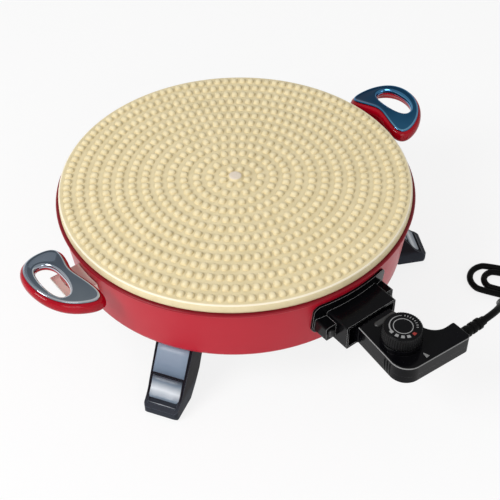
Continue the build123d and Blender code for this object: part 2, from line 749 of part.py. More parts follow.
# Screws of the two brackets
with BuildPart() as handle_screws:
    seat = wall_r(BRACKET_SCREW_Z + SCREW_HEAD_R) + SEAT_GAP + BRACKET_T
    for angle in SIDES.values():
        with BuildSketch(facing(angle, seat, BRACKET_SCREW_Z)):
            with GridLocations(2 * BRACKET_SCREW_Y, 1, 2, 1):
                Circle(SCREW_HEAD_R)
        extrude(amount=SCREW_HEAD_T)
        with BuildSketch(facing(angle, seat, BRACKET_SCREW_Z)):
            with GridLocations(2 * BRACKET_SCREW_Y, 1, 2, 1):
                Circle(SCREW_R)
        extrude(amount=-SCREW_HEAD_R - BRACKET_T - WALL)
        with BuildSketch(turned(BRACKET_TOP - BRACKET_T, angle)):
            with Locations((FOOT_SCREW_X, 0)):
                Circle(SCREW_HEAD_R)
        extrude(amount=-SCREW_HEAD_T)
        with BuildSketch(turned(BRACKET_TOP - BRACKET_T, angle)):
            with Locations((FOOT_SCREW_X, 0)):
                Circle(SCREW_R)
        extrude(amount=BRACKET_T + GRIP_THICK * 0.6)
handle_screws.part.label = "handle_screws"
export_step(handle_screws.part, "parts/handle_screws.step")


def along_face(s, inset=0.0):
    """Point of a leg's sloping face, s down from its top and inset into it."""
    run = KNEE[0] - HIP_X
    fall = COVER_FLOOR - KNEE[1]
    length = hypot(run, fall)
    x = HIP_X + s * run / length - inset * fall / length
    z = COVER_FLOOR - s * fall / length - inset * run / length
    return (x, z)


def leg_blank(azimuth):
    """Solid leg: its side outline within its plan outline."""
    with BuildPart() as blank:
        with BuildSketch(upright(azimuth, off=-LEG_BACK_HALF)):
            with BuildLine():
                Line((HIP_X, COVER_FLOOR), KNEE)
                ThreePointArc(KNEE, SCOOP, TOE_TOP)
                Polyline(TOE_TOP, (TOE_OUT - 0.5, 11), (TOE_OUT, 4), (TOE_OUT - 2.5, PAD_PROUD))
                Polyline((TOE_OUT - 2.5, PAD_PROUD), (HEEL_X, PAD_PROUD), *INSTEP)
                Polyline(
                    INSTEP[-1],
                    (THIGH_X, COVER_FLOOR - TAB_T),
                    (TAB_IN, COVER_FLOOR - TAB_T),
                    (TAB_IN, COVER_FLOOR),
                    (HIP_X, COVER_FLOOR),
                )
            make_face()
        extrude(amount=2 * LEG_BACK_HALF)
        with BuildSketch(turned(0, azimuth)) as plan:
            with BuildLine():
                Polyline(
                    (TAB_IN, -LEG_BACK_HALF),
                    (THIGH_X, -LEG_BACK_HALF),
                    (TOE_OUT, -LEG_TOE_HALF),
                    (TOE_OUT, LEG_TOE_HALF),
                    (THIGH_X, LEG_BACK_HALF),
                    (TAB_IN, LEG_BACK_HALF),
                    close=True,
                )
            make_face()
            fillet(plan.vertices().sort_by(Axis.X)[-2:], LEG_TOE_ROUND)
        extrude(amount=COVER_FLOOR, mode=Mode.INTERSECT)
    return blank.part


def leg_hollow(azimuth):
    """Space inside a leg, open towards the plate's axis."""
    top = COVER_FLOOR - TAB_T
    slope = (KNEE[0] - HIP_X) / (COVER_FLOOR - KNEE[1])
    face_top = HIP_X + (COVER_FLOOR - top) * slope - 1.25 * LEG_WALL
    back = TAB_IN
    front = TOE_OUT
    narrow = (LEG_BACK_HALF - LEG_TOE_HALF) / (TOE_OUT - THIGH_X)
    with BuildPart() as hollow:
        with BuildSketch(upright(azimuth, off=-LEG_BACK_HALF)):
            Polygon(
                (back, top),
                (face_top, top),
                (KNEE[0] - 1.25 * LEG_WALL, KNEE[1]),
                (HEEL_X + 6, LEG_SOLE),
                (back, LEG_SOLE),
                align=None,
            )
        extrude(amount=2 * LEG_BACK_HALF)
        with BuildSketch(turned(0, azimuth)):
            at_back = LEG_BACK_HALF - LEG_WALL
            at_front = LEG_TOE_HALF - LEG_WALL
            Polygon(
                (back, -at_back - narrow * (THIGH_X - back)),
                (front, -at_front),
                (front, at_front),
                (back, at_back + narrow * (THIGH_X - back)),
                align=None,
            )
        extrude(amount=COVER_FLOOR, mode=Mode.INTERSECT)
    return hollow.part


for name, azimuth in LEGS.items():
    blank = leg_blank(azimuth)
    hollow = leg_hollow(azimuth)
    with BuildPart() as leg:
        add(blank)
        add(hollow, mode=Mode.SUBTRACT)
        # flat panel and hollow scoop in its face, with a rib between them
        with BuildSketch(upright(azimuth, off=-RECESS_HALF)):
            start, end = PANEL_SPAN
            corners = [along_face(start, -2), along_face(end, -2)]
            corners += [along_face(end, RECESS), along_face(start, RECESS)]
            Polygon(*corners, align=None)
            with BuildLine():
                deep_knee = (KNEE[0] - RECESS, KNEE[1] - 1)
                deep_toe = (TOE_TOP[0] + 1, TOE_TOP[1] - RECESS + 1)
                Line(along_face(SCOOP_START, RECESS), deep_knee)
                ThreePointArc(deep_knee, (SCOOP[0] - 1.6, SCOOP[1] - 1.6), deep_toe)
                Polyline(
                    deep_toe,
                    (TOE_TOP[0] + 1, TOE_TOP[1] + 8),
                    along_face(SCOOP_START, -6),
                    along_face(SCOOP_START, RECESS),
                )
            make_face()
        extrude(amount=2 * RECESS_HALF, mode=Mode.SUBTRACT)
        with BuildSketch(turned(PAD_PROUD, azimuth)):
            with Locations((PAD_X, 0)):
                Rectangle(PAD_LONG + 2 * SLIP, PAD_WIDE + 2 * SLIP)
        extrude(amount=PAD_T - PAD_PROUD, mode=Mode.SUBTRACT)
        with BuildSketch(turned(COVER_FLOOR, azimuth)):
            with Locations((LEG_SCREW_X, LEG_SCREW_Y), (LEG_SCREW_X, -LEG_SCREW_Y)):
                Circle(SCREW_R + SLIP)
        extrude(amount=-TAB_T, mode=Mode.SUBTRACT)
    leg.part.label = f"leg_{name}"
    export_step(leg.part, f"parts/leg_{name}.step")

    with BuildPart() as leg_pad:
        with BuildSketch(turned(0, azimuth)):
            with Locations((PAD_X, 0)):
                Rectangle(PAD_LONG, PAD_WIDE)
        extrude(amount=PAD_T)
    leg_pad.part.label = f"leg_pad_{name}"
    export_step(leg_pad.part, f"parts/leg_pad_{name}.step")

# Screws and nuts that hold the legs to the cover
with BuildPart() as leg_screws:
    for azimuth in LEGS.values():
        for z, height, shape in (
            (COVER_FLOOR - TAB_T, -SCREW_HEAD_T, SCREW_HEAD_R),
            (COVER_FLOOR - TAB_T, TAB_T + COVER_T + 2 * SCREW_HEAD_T, SCREW_R),
            (SHELL_FLOOR, SCREW_HEAD_T, SCREW_HEAD_R),
        ):
            with BuildSketch(turned(z, azimuth)):
                with Locations((LEG_SCREW_X, LEG_SCREW_Y), (LEG_SCREW_X, -LEG_SCREW_Y)):
                    Circle(shape)
            extrude(amount=height)
leg_screws.part.label = "leg_screws"
export_step(leg_screws.part, "parts/leg_screws.step")


def arc_exit(chord, tangent):
    """Direction in which an arc leaves, from its chord and the direction it starts in."""
    return chord * (2 * chord.dot(tangent) / chord.dot(chord)) - tangent


def case_outline():
    """Plan of the control's case without its neck, drawn in the current sketch."""
    half = NECK_HALF - 0.5
    corner_y, corner_front = CASE_CORNER
    lean = Vector(half - CASE_HALF, NECK_END - corner_y)
    leftward = Vector(-1, 0)
    bend = Vector(ARM_BEND, -ARM_BACK)
    waist = Vector(WAIST[0], -WAIST[1])
    with BuildLine() as outline:
        Line((-half, -NECK_END), (-CASE_HALF, -corner_y))
        TangentArc((-CASE_HALF, -corner_y), (-9, -corner_front), tangent=lean)
        Line((-9, -corner_front), (ARM_REACH - ARM_ROUND, -CASE_REACH))
        TangentArc(
            (ARM_REACH - ARM_ROUND, -CASE_REACH),
            (ARM_REACH, -CASE_REACH + ARM_ROUND),
            tangent=(1, 0),
        )
        Line((ARM_REACH, -CASE_REACH + ARM_ROUND), (ARM_REACH, -ARM_BACK - 2))
        TangentArc((ARM_REACH, -ARM_BACK - 2), (ARM_REACH - 2, -ARM_BACK), tangent=(0, 1))
        Line((ARM_REACH - 2, -ARM_BACK), (ARM_BEND, -ARM_BACK))
        TangentArc(bend, waist, tangent=leftward)
        TangentArc(waist, (half, -NECK_END), tangent=arc_exit(waist - bend, leftward))
        Line((half, -NECK_END), (-half, -NECK_END))
    return outline.line


def case_half(floor, top, wall_side):
    """One half of the control's case, hollow towards the other half."""
    low = max(floor, NECK_FLOOR)
    high = min(top, NECK_TOP)
    roof = wall_side * CASE_WALL
    with BuildPart() as half:
        with BuildSketch(level(floor)):
            add(case_outline())
            make_face()
        extrude(amount=top - floor)
        rim = half.faces().sort_by(Axis.Z)[-1 if wall_side > 0 else 0].edges()
        fillet(rim, CASE_EDGE)
        block((-NECK_HALF, NECK_HALF), (-NECK_END - 1, -NOSE), (low, high))
        with BuildSketch(level(floor - min(roof, 0))):
            add(case_outline())
            make_face()
            offset(amount=-CASE_WALL)
        extrude(amount=top - floor - CASE_WALL, mode=Mode.SUBTRACT)
        inside = NECK_HALF - CASE_WALL
        block(
            (-inside, inside),
            (-NECK_END - CASE_WALL - 1, -NOSE - CASE_WALL),
            (low - min(roof, 0), high - max(roof, 0)),
            mode=Mode.SUBTRACT,
        )
        for x in (-TERMINAL_X, TERMINAL_X):
            start = (x, -NOSE, PROBE_Z)
            rod(start, (x, -NOSE - CASE_WALL, PROBE_Z), SLEEVE_R, mode=Mode.SUBTRACT)
        start = (0, -NOSE, PROBE_Z)
        rod(start, (0, -NOSE - CASE_WALL, PROBE_Z), ROD_R + SLIP, mode=Mode.SUBTRACT)
        start = (ARM_REACH - CASE_WALL - 1, -LEAD_Y, LEAD_Z)
        rod(start, (ARM_REACH + 1, -LEAD_Y, LEAD_Z), RELIEF_R + SLIP, mode=Mode.SUBTRACT)
    return half.part


# Case of the control: lower half with screw posts
lower = case_half(CASE_FLOOR, CASE_SPLIT, -1)
with BuildPart() as control_case_lower:
    add(lower)
    for x, y in CASE_SCREWS:
        start = (x, -y, CASE_FLOOR + CASE_WALL)
        rod(start, (x, -y, CASE_SPLIT), SCREW_HEAD_R)
        rod((x, -y, CASE_FLOOR), (x, -y, CASE_SPLIT), SMALL_SCREW_R + SLIP, mode=Mode.SUBTRACT)
control_case_lower.part.label = "control_case_lower"
export_step(control_case_lower.part, "parts/control_case_lower.step")

# Upper half with the dial's turret, the lamp's window and screw posts
upper = case_half(CASE_SPLIT, CASE_TOP, 1)
with BuildPart() as control_case_upper:
    add(upper)
    rod((0, -DIAL_Y, CASE_TOP - CASE_WALL), (0, -DIAL_Y, TURRET_TOP), TURRET_R)
    bore = SHAFT_R + SHAFT_PLAY
    rod((0, -DIAL_Y, CASE_SPLIT), (0, -DIAL_Y, TURRET_TOP), bore, mode=Mode.SUBTRACT)
    for x, y in CASE_SCREWS:
        rod((x, -y, CASE_SPLIT), (x, -y, CASE_TOP - CASE_WALL), SCREW_HEAD_R)
        end = (x, -y, CASE_TOP - 2 * CASE_WALL)
        rod((x, -y, CASE_SPLIT), end, SMALL_SCREW_R + SLIP, mode=Mode.SUBTRACT)
    with BuildSketch(level(CASE_TOP - CASE_WALL)):
        with Locations((LENS_X, -LENS_Y)):
            SlotOverall(LENS_LONG, 2 * LENS_R)
    extrude(amount=CASE_WALL, mode=Mode.SUBTRACT)
control_case_upper.part.label = "control_case_upper"
export_step(control_case_upper.part, "parts/control_case_upper.step")

with BuildPart() as case_screws:
    for x, y in CASE_SCREWS:
        rod((x, -y, CASE_FLOOR), (x, -y, CASE_FLOOR - SMALL_HEAD_T), SMALL_HEAD_R)
        rod((x, -y, CASE_FLOOR), (x, -y, CASE_TOP - 2 * CASE_WALL - 1), SMALL_SCREW_R)
case_screws.part.label = "case_screws"
export_step(case_screws.part, "parts/case_screws.step")

# Lamp lens, a long rounded bar in the case's top
with BuildPart() as pilot_lens:
    with BuildSketch(level(CASE_TOP - CASE_WALL)):
        with Locations((LENS_X, -LENS_Y)):
            SlotOverall(LENS_LONG - 2 * SLIP, 2 * (LENS_R - SLIP))
    extrude(amount=CASE_WALL + LENS_HIGH)
    fillet(pilot_lens.faces().sort_by(Axis.Z)[-1].edges(), LENS_HIGH)
pilot_lens.part.label = "pilot_lens"
export_step(pilot_lens.part, "parts/pilot_lens.step")

# Sensor rod and what lies inside the neck
with BuildPart() as sensor_rod:
    rod((0, -BLOCK_BACK - 1, PROBE_Z), (0, -NOSE + ROD_LONG, PROBE_Z), ROD_R)
    fillet(sensor_rod.faces().sort_by(Axis.Y)[-1].edges(), ROD_R / 2)
sensor_rod.part.label = "sensor_rod"
export_step(sensor_rod.part, "parts/sensor_rod.step")

with BuildPart() as contact_block:
    inside = NECK_HALF - CASE_WALL - SLIP
    floor = NECK_FLOOR + CASE_WALL
    top = NECK_TOP - CASE_WALL
    block((-inside, inside), (-BLOCK_BACK, -NOSE - CASE_WALL - SLIP), (floor, top))
    for x in (-TERMINAL_X, TERMINAL_X):
        start = (x, -BLOCK_BACK, PROBE_Z)
        rod(start, (x, -NOSE, PROBE_Z), SLEEVE_R + SLIP / 2, mode=Mode.SUBTRACT)
    rod((0, -BLOCK_BACK, PROBE_Z), (0, -NOSE, PROBE_Z), ROD_R + SLIP, mode=Mode.SUBTRACT)
contact_block.part.label = "contact_block"
export_step(contact_block.part, "parts/contact_block.step")

with BuildPart() as contact_sleeves:
    for x in (-TERMINAL_X, TERMINAL_X):
        start = (x, -SLEEVE_BACK, PROBE_Z)
        end = (x, -NOSE - CASE_WALL - SLIP, PROBE_Z)
        rod(start, end, SLEEVE_R)
        start = (x, -TERMINAL_TIP - 1, PROBE_Z)
        rod(start, end, TERMINAL_R + SLEEVE_PLAY, mode=Mode.SUBTRACT)
contact_sleeves.part.label = "contact_sleeves"
export_step(contact_sleeves.part, "parts/contact_sleeves.step")

# Thermostat: base with a post, the bimetal blade and the contact spring on it
with BuildPart() as thermostat_base:
    floor = CASE_FLOOR + CASE_WALL
    block((-BASE_HALF, BASE_HALF), (-DIAL_Y - 8, -BLOCK_BACK - 2), (floor, floor + BASE_T))
    rod((0, -DIAL_Y, floor), (0, -DIAL_Y, floor + 2 * BASE_T), SHAFT_R + 2)
    block((POST_X - 3, POST_X + 3), (-POST_Y - 3, -POST_Y + 3), (floor, CAM_Z))
    rod(
        (0, -DIAL_Y, floor + 1),
        (0, -DIAL_Y, CAM_Z),
        SHAFT_R + SHAFT_PLAY,
        mode=Mode.SUBTRACT,
    )
thermostat_base.part.label = "thermostat_base"
export_step(thermostat_base.part, "parts/thermostat_base.step")

blade_x = (POST_X - BLADE_WIDE / 2, POST_X + BLADE_WIDE / 2)
blade_y = (-POST_Y + 2 - BLADE_LONG, -POST_Y + 2)
with BuildPart() as bimetal_blade:
    block(blade_x, blade_y, (CAM_Z, CAM_Z + BLADE_T))
bimetal_blade.part.label = "bimetal_blade"
export_step(bimetal_blade.part, "parts/bimetal_blade.step")

with BuildPart() as contact_spring:
    spring_z = CAM_Z + BLADE_T + 2
    block(blade_x, (-POST_Y - 2, -POST_Y + 2), (CAM_Z + BLADE_T, spring_z))
    block(blade_x, blade_y, (spring_z, spring_z + SPRING_T))
contact_spring.part.label = "contact_spring"
export_step(contact_spring.part, "parts/contact_spring.step")

# Dial: knurled knob on a shaft with its cam
with BuildPart() as dial_knob:
    slope = atan((DIAL_R - DIAL_TOP_R) / (DIAL_TOP - DIAL_FLOOR))
    with BuildSketch(level(DIAL_FLOOR)):
        with Locations((0, -DIAL_Y)):
            Circle(DIAL_R)
    extrude(amount=DIAL_TOP - DIAL_FLOOR, taper=degrees(slope))
    fillet(dial_knob.faces().sort_by(Axis.Z)[-1].edges(), DIAL_EDGE)
    rib_planes = []
    for rib in range(DIAL_RIBS):
        out = outward(360 * rib / DIAL_RIBS)
        foot = Vector(0, AXIS_Y - DIAL_Y, DIAL_FLOOR) + out * DIAL_R
        rise = UP * cos(slope) - out * sin(slope)
        rib_planes.append(Plane(origin=foot, x_dir=UP.cross(out), z_dir=rise))
    with BuildSketch(*rib_planes):
        Circle(RIB_R)
    extrude(amount=(DIAL_TOP - DIAL_FLOOR - DIAL_EDGE) / cos(slope))
    with BuildSketch(level(DIAL_FLOOR - 1)):
        with Locations((0, -DIAL_Y)):
            Circle(DIAL_R + 2)
    extrude(amount=1, mode=Mode.SUBTRACT)
    rod(
        (0, -DIAL_Y, DIAL_FLOOR),
        (0, -DIAL_Y, SHAFT_TOP),
        SHAFT_R + SLIP,
        mode=Mode.SUBTRACT,
    )
dial_knob.part.label = "dial_knob"
export_step(dial_knob.part, "parts/dial_knob.step")

with BuildPart() as dial_shaft:
    rod((0, -DIAL_Y, CASE_FLOOR + CASE_WALL + 1 + SLIP), (0, -DIAL_Y, SHAFT_TOP), SHAFT_R)
    rod((CAM_OFF, -DIAL_Y, CAM_Z), (CAM_OFF, -DIAL_Y, CAM_Z + CAM_T), CAM_R)
dial_shaft.part.label = "dial_shaft"
export_step(dial_shaft.part, "parts/dial_shaft.step")

# Strain relief: tapered boot with rings and a collar inside the arm
with BuildPart() as strain_relief:
    inner_x = ARM_REACH - CASE_WALL - SLIP
    end_x = ARM_REACH + RELIEF_LONG
    middle = (0, AXIS_Y - LEAD_Y, LEAD_Z)
    with BuildSketch(Plane(origin=middle, x_dir=(1, 0, 0), z_dir=(0, -1, 0))):
        with BuildLine():
            Polyline(
                (inner_x - COLLAR_T, 0),
                (inner_x - COLLAR_T, COLLAR_R),
                (inner_x, COLLAR_R),
                (inner_x, RELIEF_R),
                (ARM_REACH + 1, RELIEF_R),
                (end_x, RELIEF_END_R),
                (end_x, 0),
                close=True,
            )
        make_face()
        ring_pitch = RELIEF_LONG / (RELIEF_RINGS + 1)
        for ring in range(1, RELIEF_RINGS + 1):
            with Locations((ARM_REACH + ring * ring_pitch, RELIEF_R / 2 + 0.4)):
                Rectangle(ring_pitch * 0.5, RELIEF_R)
    revolve(axis=Axis(middle, (1, 0, 0)))
strain_relief.part.label = "strain_relief"
export_step(strain_relief.part, "parts/strain_relief.step")


def hank_point(s, t, z):
    """Point of the hank: s along its loops, t across them."""
    along = outward(HANK_TURN)
    across = outward(HANK_TURN + 90)
    base = Vector(HANK_AT[0], HANK_AT[1] + AXIS_Y, z)
    return base + along * s + across * t


def bend_radii(points):
    """Largest arc at each corner that its two runs allow."""
    radii = []
    for before, corner, after in zip(points, points[1:], points[2:]):
        turn = radians((corner - before).get_angle(after - corner))
        run = min((corner - before).length, (after - corner).length)
        radii.append(0.45 * run / tan(turn / 2))
    return radii


# Lead: free stretch between the control and the hank
high = HANK_LOW + HANK_PITCH
lead_points = [Vector(ARM_REACH + RELIEF_LONG, AXIS_Y - LEAD_Y, LEAD_Z)]
lead_points += [Vector(x, y + AXIS_Y, z) for x, y, z in LEAD_CORNERS]
lead_points += [hank_point(HANK_JOIN - 14.5, -HANK_R, high), hank_point(HANK_JOIN, -HANK_R, high)]
lead_radii = bend_radii(lead_points)
print("lead radii", [round(r, 1) for r in lead_radii])
with BuildPart() as cord:
    with BuildLine() as lead_route:
        FilletPolyline(*lead_points, radius=lead_radii)
    with BuildSketch(Plane(origin=lead_points[0], z_dir=(1, 0, 0))):
        Circle(LEAD_R)
    sweep(path=lead_route.wire())
print("lead length", round(lead_route.wire().length, 1))
print("lead volume ratio", round(cord.part.volume / (pi * LEAD_R**2 * lead_route.wire().length), 4))
cord.part.label = "cord"
export_step(cord.part, "parts/cord.step")


def cap(s, near_t, far_t, z, way):
    """Half turn at one end of the hank; way is 1 at the far end and -1 at the near end."""
    radius = abs(far_t - near_t) / 2
    middle = hank_point(s + way * radius, (near_t + far_t) / 2, z)
    ThreePointArc(hank_point(s, near_t, z), middle, hank_point(s, far_t, z))


def slope_run(s_from, s_to, t, z_from, z_to):
    """Strand that changes height by two equal arcs."""
    start = hank_point(s_from, t, z_from)
    middle = hank_point((s_from + s_to) / 2, t, (z_from + z_to) / 2)
    end = hank_point(s_to, t, z_to)
    way = outward(HANK_TURN) * (1 if s_to > s_from else -1)
    first = TangentArc(start, middle, tangent=way)
    TangentArc(middle, end, tangent=first % 1)


# Hank: unbroken run of the lead through its loops to the plug
OUT_T = HANK_R
IN_T = HANK_R - HANK_PITCH
low = HANK_LOW
far = HANK_LONG
with BuildPart() as cord_coil:
    with BuildLine() as hank_route:
        Line(hank_point(HANK_JOIN, -OUT_T, high), hank_point(far, -OUT_T, high))
        cap(far, -OUT_T, OUT_T, high, 1)
        Line(hank_point(far, OUT_T, high), hank_point(HANK_NEAR, OUT_T, high))
        cap(HANK_NEAR, OUT_T, -IN_T, high, -1)
        Line(hank_point(HANK_NEAR, -IN_T, high), hank_point(far, -IN_T, high))
        cap(far, -IN_T, IN_T, high, 1)
        slope_run(DROP_FROM, DROP_TO, IN_T, high, low)
        Line(hank_point(DROP_TO, IN_T, low), hank_point(HANK_INNER, IN_T, low))
        cap(HANK_INNER, IN_T, -IN_T, low, -1)
        Line(hank_point(HANK_INNER, -IN_T, low), hank_point(far, -IN_T, low))
        cap(far, -IN_T, OUT_T, low, 1)
        Line(hank_point(far, OUT_T, low), hank_point(0, OUT_T, low))
        cap(0, OUT_T, -OUT_T, low, -1)
        Line(hank_point(0, -OUT_T, low), hank_point(RISE_FROM, -OUT_T, low))
        slope_run(RISE_FROM, RISE_TO, -OUT_T, low, TAIL_Z)
        tail_end = PLUG_AT - PLUG_R - PLUG_NECK
        Line(hank_point(RISE_TO, -OUT_T, TAIL_Z), hank_point(tail_end, -OUT_T, TAIL_Z))
    with BuildSketch(Plane(origin=hank_point(HANK_JOIN, -OUT_T, high), z_dir=outward(HANK_TURN))):
        Circle(LEAD_R)
    sweep(path=hank_route.wire())
hank_length = hank_route.wire().length
print("hank length", round(hank_length, 1))
print("hank volume ratio", round(cord_coil.part.volume / (pi * LEAD_R**2 * hank_length), 4))
samples = [hank_route.wire() @ (i / 500) for i in range(501)]
apart = int(4 * LEAD_R / (hank_length / 500)) + 1
closest = min(
    (samples[i] - samples[j]).length for i in range(501) for j in range(i + apart, 501)
)
print("hank least gap to itself", round(closest - 2 * LEAD_R, 2))
cord_coil.part.label = "cord_coil"
export_step(cord_coil.part, "parts/cord_coil.step")

# Tie strap round all strands
with BuildPart() as cord_tie:
    tie_z = HANK_LOW + HANK_PITCH / 2
    wide = 2 * (HANK_R + LEAD_R + SEAT_GAP)
    tall = 2 * (HANK_PITCH / 2 + LEAD_R + SEAT_GAP)
    tie_plane = Plane(
        origin=hank_point(TIE_AT - TIE_WIDE / 2, 0, tie_z),
        x_dir=outward(HANK_TURN + 90),
        z_dir=outward(HANK_TURN),
    )
    with BuildSketch(tie_plane):
        RectangleRounded(wide + 2 * TIE_T, tall + 2 * TIE_T, LEAD_R + TIE_T)
        RectangleRounded(wide, tall, LEAD_R, mode=Mode.SUBTRACT)
    extrude(amount=TIE_WIDE)
cord_tie.part.label = "cord_tie"
export_step(cord_tie.part, "parts/cord_tie.step")

# Plug: round body on its back, its cord in from the side and its pins up
with BuildPart() as plug_body:
    centre = hank_point(PLUG_AT, -HANK_R, 0)
    with BuildSketch(Plane(origin=centre)):
        Circle(PLUG_R)
    extrude(amount=PLUG_HIGH)
    fillet(plug_body.edges().filter_by(GeomType.CIRCLE), PLUG_EDGE)
    neck_start = hank_point(tail_end, -HANK_R, TAIL_Z)
    with BuildSketch(Plane(origin=neck_start, z_dir=outward(HANK_TURN))):
        Circle(RELIEF_END_R)
    extrude(amount=PLUG_NECK + PLUG_R / 2)
plug_body.part.label = "plug_body"
export_step(plug_body.part, "parts/plug_body.step")

with BuildPart() as plug_pins:
    for across in (-PIN_SPACING / 2, PIN_SPACING / 2):
        with BuildSketch(Plane(origin=hank_point(PLUG_AT, -HANK_R + across, PLUG_HIGH))):
            Circle(PIN_R)
        extrude(amount=PIN_LONG)
    fillet(plug_pins.faces().sort_by(Axis.Z)[-2:].edges(), PIN_R * 0.4)
plug_pins.part.label = "plug_pins"
export_step(plug_pins.part, "parts/plug_pins.step")
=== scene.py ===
# Electric flatbread maker: looks of the studded plate, red shell, handles, legs, plug-in
# control and its lead. Shapes are given in millimetres, measured from the plate's axis and the
# worktop, and MM turns them into metres. Materials and lamps are given in metres.
import json
import math

import bmesh
import bpy
from mathutils import Matrix, Vector


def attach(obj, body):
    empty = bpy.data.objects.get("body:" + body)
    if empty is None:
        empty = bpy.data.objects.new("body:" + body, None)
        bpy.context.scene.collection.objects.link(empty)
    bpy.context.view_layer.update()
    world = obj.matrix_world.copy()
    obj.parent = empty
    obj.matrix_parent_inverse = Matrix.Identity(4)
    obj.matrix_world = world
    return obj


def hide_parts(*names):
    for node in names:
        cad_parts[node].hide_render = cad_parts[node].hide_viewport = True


MM = 0.001
AXIS_Y = 34.75  # the plate's axis along Y in the frame

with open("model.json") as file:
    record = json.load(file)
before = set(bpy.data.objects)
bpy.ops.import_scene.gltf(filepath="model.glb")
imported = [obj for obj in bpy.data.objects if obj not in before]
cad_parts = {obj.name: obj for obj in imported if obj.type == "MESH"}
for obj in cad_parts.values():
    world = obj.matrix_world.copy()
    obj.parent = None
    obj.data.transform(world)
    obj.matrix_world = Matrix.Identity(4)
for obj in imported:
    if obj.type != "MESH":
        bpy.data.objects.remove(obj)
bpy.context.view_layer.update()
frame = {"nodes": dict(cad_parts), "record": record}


def at_axis(x, y, z):
    """Point given in millimetres from the plate's axis."""
    return Vector((x, y + AXIS_Y, z)) * MM


# Camera, fitted to the photo: its place in the frame in millimetres, and its directions
CAMERA_AT = (-455.3, -591.96, 781.19)
CAMERA_RIGHT = (0.79022, -0.61264, -0.01472)
CAMERA_UP = (0.43331, 0.54161, 0.72035)
CAMERA_FORWARD = (0.43334, 0.57562, -0.69346)
LENS = 72.43
SENSOR_WIDTH = 36.0


def make_camera():
    data = bpy.data.cameras.new("camera")
    data.lens = LENS
    data.sensor_width = SENSOR_WIDTH
    data.sensor_fit = "HORIZONTAL"
    camera = bpy.data.objects.new("camera", data)
    bpy.context.collection.objects.link(camera)
    back = -Vector(CAMERA_FORWARD)
    turn = Matrix((CAMERA_RIGHT, CAMERA_UP, back)).transposed()
    camera.matrix_world = Matrix.Translation(Vector(CAMERA_AT) * MM) @ turn.to_4x4()
    bpy.context.scene.camera = camera


# Materials. Heights and widths in them are metres in the frame
MIX_FACTOR = 0  # sockets of the mix node, which share their names between data types
MIX_VALUES = (2, 3)
MIX_COLOURS = (6, 7)
MIX_VALUE_OUT = 0
MIX_COLOUR_OUT = 2
NOISE_DETAIL = 3.0
BEVEL_SAMPLES = 6
EDGE_FLAT = 0.97  # how far a rounded normal agrees with the real one where an edge starts
EDGE_SHARP = 0.80


def srgb(r, g, b):
    """Colour as seen on screen, 0 to 255, turned into linear light."""
    def linear(c):
        c /= 255
        return c / 12.92 if c <= 0.04045 else ((c + 0.055) / 1.055) ** 2.4

    return (linear(r), linear(g), linear(b), 1.0)


def grey(level):
    return srgb(level, level, level)


